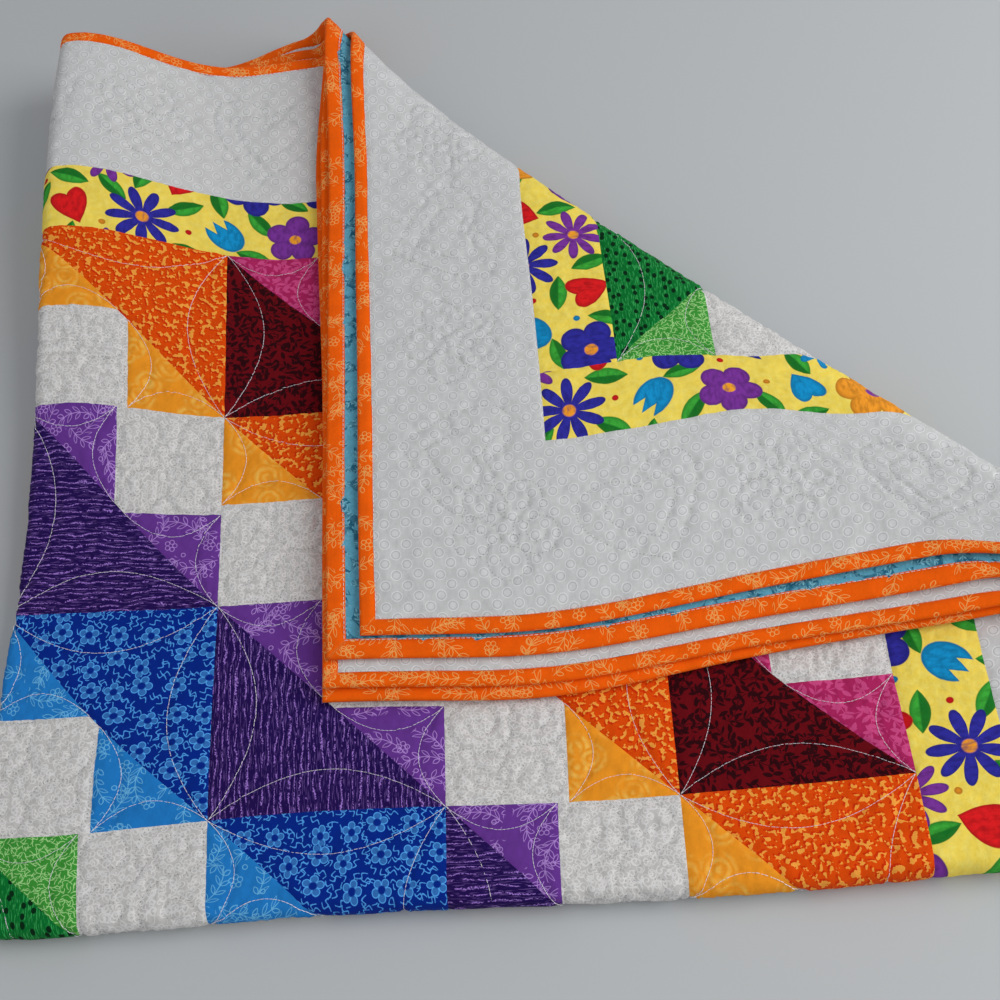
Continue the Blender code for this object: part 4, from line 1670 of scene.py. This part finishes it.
@dataclass
class Thread:
    """White thread: a short spindle for each stitch that shows, and small squares of painted shade
    where stitches on white sink in.
    """

    stitch: float = 0.0026
    gap: float = 0.0001
    seam_gap: float = 0.0009
    first: float = 0.001
    radius: float = 0.00025
    sections: tuple[tuple[float, float, float], ...] = (
        (0.0, 0.7, 0.0), (0.2, 1.0, 0.0002), (0.8, 1.0, 0.0002), (1.0, 0.7, 0.0),
    )
    shadow_mark_half: float = 0.00028
    shadow_mark_lift: float = 0.00012
    bed_reach: float = 0.0009
    bed_lift: float = 0.00006
    seen_x: float = 0.245
    seen_y: float = 0.20
    turned_past: float = 0.02
    edge_room: float = 0.014
    face_seam: tuple[float, float] = (0.0005, 0.0019)
    back_seam: tuple[float, float] = (-0.0013, 0.00275)

    def _showing(self, flat: np.ndarray) -> np.ndarray:
        """Whether flat points lie where the folded quilt can be seen."""
        x, y, past = FOLDING.packet(flat)
        u, v = flat[:, 0], flat[:, 1]
        clear = (x < self.seen_x) | (y < self.seen_y)
        top = (u > 0) & (v > 0) & (past < 0.0) & clear
        corner = (u > 0) & (v < 0) & (past > self.turned_past)
        room = self.edge_room
        inside = (np.abs(u) < SIZE.half_w - room) & (np.abs(v) < SIZE.half_h - room)
        return (top | corner) & inside

    def _cut(self, lines: Iterable[np.ndarray], gap: float) -> tuple[np.ndarray, np.ndarray]:
        """Cut lines into stitches with gaps between: where each starts, and its way."""
        starts, ways = [], []
        for line in lines:
            length = run_lengths(line)
            at = np.arange(self.first, length[-1] - self.stitch, self.stitch + gap)
            starts.append(points_along(line, length, at))
            ways.append(points_along(line, length, at + self.stitch) - starts[-1])
        start, way = np.vstack(starts), np.vstack(ways)
        keep = np.linalg.norm(way, axis=1) > self.stitch * 0.5
        return start[keep], way[keep]

    def _bed(self, top: PiecedTop, flat: np.ndarray) -> np.ndarray:
        """Height that the cloth's cells reach round each point, so that no stitch is buried."""
        shifts = np.array([(0, 0), (1, 0), (-1, 0), (0, 1), (0, -1)]) * self.bed_reach
        far = np.full(len(flat), 1.0)
        return np.mean([top.heights(flat + shift, far) for shift in shifts], axis=0) + self.bed_lift

    def _spindles(self, start: np.ndarray, way: np.ndarray, base: np.ndarray, up: float) -> tuple:
        """Three-sided spindles, thin and sunk at both ends.

        Args:
            start: Where each stitch starts on the flat quilt.
            way: Its direction and length.
            base: Height of the cloth under it.
            up: 1 on the face, -1 behind.

        Returns:
            Points in the frame, quads and triangles.
        """
        side = np.column_stack((-way[:, 1], way[:, 0])) / np.linalg.norm(way, axis=1)[:, None]
        flats, lifts = [], []
        for t, swell, lift in self.sections:
            for corner in range(3):
                angle = math.pi / 2 + up * corner * 2.0 * math.pi / 3.0
                flats.append(start + way * t + side * (self.radius * swell * math.cos(angle)))
                lifts.append(up * (base + lift + self.radius * swell * math.sin(angle)))
        flat = np.stack(flats, axis=1).reshape(-1, 2)
        points = FOLDING.place(flat, np.stack(lifts, axis=1).reshape(-1))
        first = np.arange(len(start))[:, None] * 12
        rings = [(3 * r + c, 3 * r + (c + 1) % 3) for r in range(3) for c in range(3)]
        quads = np.vstack([first + np.array([[a, b, b + 3, a + 3]]) for a, b in rings])
        ends = np.vstack([first + np.array([[2, 1, 0]]), first + np.array([[9, 10, 11]])])
        return points, quads, ends

    def _material(
        self, name: str, dark: tuple[float, ...], light: tuple[float, ...]
    ) -> bpy.types.Material:
        """Flecked material for thread, or for the painted shade marks beside it."""
        material, nodes = new_material(name)
        place = Sock(nodes, nodes.add("ShaderNodeTexCoord", {}, {}).outputs["Object"])
        fleck = nodes.noise(nodes.scale(place, (1000.0, 1000.0, 1000.0)), size=0.8, detail=2.0)
        nodes.shade(Base_Color=nodes.mix(fleck, dark, light), Roughness=0.7)
        return material

    def _finish(self, item: bpy.types.Object) -> None:
        """Tie a thread piece to the frame and give it its thread."""
        thread = self._material("white_thread", tone(236, 230, 240), tone(255, 251, 255))
        item.data.materials.append(thread)
        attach(item, "root")

    def quilt(self, top: PiecedTop, quilting: Quilting) -> bpy.types.Object:
        """Lay the stitches that show as thread, and mark those on white with small dark squares of
        painted shade, standing for the shadows where the thread sinks in.

        Args:
            top: The face that they lie on.
            quilting: The quilted lines.

        Returns:
            The piece.
        """
        start, way = self._cut(quilting.arcs, self.gap)
        keep = self._showing(start + way / 2)
        start, way = start[keep], way[keep]
        base = self._bed(top, start + way / 2)
        points, quads, ends = self._spindles(start, way, base, 1.0)
        spot, _ = self._cut(quilting.curls + quilting.motifs, self.gap)
        spot = spot[self._showing(spot)]
        # painted shade: flat grey squares laid just over the cloth stand for the shadows where the
        # stitches sink in
        square = np.array([(-1, -1), (1, -1), (1, 1), (-1, 1)]) * self.shadow_mark_half
        around = (spot[:, None, :] + square[None, :, :]).reshape(-1, 2)
        lift = np.repeat(self._bed(top, spot) + self.shadow_mark_lift, 4)
        shadow_marks = np.arange(len(spot))[:, None] * 4 + np.arange(4)[None, :] + len(points)
        points = np.vstack((points, FOLDING.place(around, lift)))
        item = make_mesh("quilting_thread", points, [quads, shadow_marks, ends])
        self._finish(item)
        # the flecked greys are painted shade, not a colour of the cloth
        shaded = self._material("painted_stitch_shadow", tone(104, 102, 101), tone(150, 147, 145))
        item.data.materials.append(shaded)
        slots = np.zeros(len(item.data.polygons), dtype=np.int32)
        slots[len(quads):len(quads) + len(shadow_marks)] = 1
        item.data.polygons.foreach_set("material_index", slots)
        log.info("quilting_thread: %d stitches, %d holes", len(start), len(spot))
        return item

    def seams(self, binding: Binding) -> bpy.types.Object:
        """Stitch the binding down: in the ditch on the face, near its inner edge behind.

        Args:
            binding: The binding's sizes.

        Returns:
            The piece.
        """
        parts, count = [], 0
        sides = ((binding.width, self.face_seam, 1.0), (binding.back, self.back_seam, -1.0))
        for width, (past, base), up in sides:
            w, h = SIZE.half_w - (width + past), SIZE.half_h - (width + past)
            loop = np.array([(-w, -h), (w, -h), (w, h), (-w, h), (-w, -h)])
            start, way = self._cut([loop[k:k + 2] for k in range(4)], self.seam_gap)
            points, quads, ends = self._spindles(start, way, np.full(len(start), base), up)
            parts.append((points, quads + count, ends + count))
            count += len(points)
        points, quads, ends = (np.vstack(rows) for rows in zip(*parts))
        item = make_mesh("binding_stitches", points, [quads, ends])
        self._finish(item)
        log.info("binding_stitches: %d faces", len(quads) + len(ends))
        return item


@dataclass
class Studio:
    """Pale floor, soft lights and the camera."""

    camera_place: tuple[float, float, float] = (0.40369, -0.20001, 0.92853)
    camera_turn: tuple[float, float, float] = (0.47582, 0.08685, -0.04544)
    focal_px: float = 1421.6
    frame_px: float = 1000.0
    sensor_mm: float = 36.0
    floor_half: float = 6.0
    floor_tone: tuple[float, ...] = tone(184, 187, 188)
    key: tuple[tuple[float, float, float], float, float] = ((1.75, -0.1, 1.5), 1.6, 38.0)
    fill: tuple[tuple[float, float, float], float, float] = ((-1.2, -1.9, 1.9), 2.6, 11.0)
    sky: tuple[float, ...] = (0.94, 0.96, 1.0, 1.0)
    sky_strength: float = 0.42

    def build(self) -> None:
        """Make the floor, the lights, the world and the camera."""
        scene = bpy.context.scene
        corners = np.array([(-1, -1, 0), (1, -1, 0), (1, 1, 0), (-1, 1, 0)]) * self.floor_half
        floor = make_mesh("floor", corners, [np.array([[0, 1, 2, 3]])])
        material, nodes = new_material("pale_floor")
        nodes.shade(Base_Color=self.floor_tone, Roughness=0.7)
        floor.data.materials.append(material)
        self._light("key", *self.key)
        self._light("fill", *self.fill)
        world = bpy.data.worlds.new("studio")
        world.use_nodes = True
        background = world.node_tree.nodes["Background"]
        background.inputs["Color"].default_value = self.sky
        background.inputs["Strength"].default_value = self.sky_strength
        scene.world = world
        data = bpy.data.cameras.new("camera")
        data.sensor_width = self.sensor_mm
        data.lens = self.focal_px / self.frame_px * self.sensor_mm
        camera = bpy.data.objects.new("camera", data)
        camera.location = tuple(np.array(self.camera_place) - np.array(FOLDING.centre))
        camera.rotation_euler = self.camera_turn
        scene.collection.objects.link(camera)
        scene.camera = camera
        scene.view_settings.view_transform = "Standard"

    def _light(
        self, name: str, place: tuple[float, float, float], size: float, power: float
    ) -> None:
        """Hang one soft square light that faces the quilt."""
        data = bpy.data.lights.new(name, "AREA")
        data.shape = "SQUARE"
        data.size = size
        data.energy = power
        light = bpy.data.objects.new(name, data)
        light.location = place
        direction = -light.location
        light.rotation_euler = direction.to_track_quat("-Z", "Y").to_euler()
        bpy.context.scene.collection.objects.link(light)


def main() -> None:
    """Build the quilt's pieces in order, then the studio."""
    logging.basicConfig(level=logging.INFO, format="%(name)s: %(message)s")
    plan = PatchPlan(SIZE)
    quilting = Quilting(plan)
    relief = Relief(quilting.all())
    top = PiecedTop(plan, relief)
    groups = (
        ("white_squares", (Fabric.WHITE,)),
        ("dot_border", (Fabric.DOTS,)),
        ("floral_strip", (Fabric.FLORAL,)),
        ("maroon_and_pink", (Fabric.DARK_0, Fabric.LIGHT_0)),
        ("orange_and_honey", (Fabric.DARK_1, Fabric.LIGHT_1)),
        ("purple_and_lilac", (Fabric.DARK_2, Fabric.LIGHT_2)),
        ("blue_and_sky", (Fabric.DARK_3, Fabric.LIGHT_3)),
        ("green_and_leaf", (Fabric.DARK_4, Fabric.LIGHT_4)),
    )
    pieces = [top.piece(name, fabrics, [COTTONS[f] for f in fabrics]) for name, fabrics in groups]
    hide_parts("quilt_top")
    Backing().build(relief)
    binding = Binding()
    binding.build()
    thread = Thread()
    thread.quilt(top, quilting)
    thread.seams(binding)
    Studio().build()


if __name__ == "__main__":
    main()
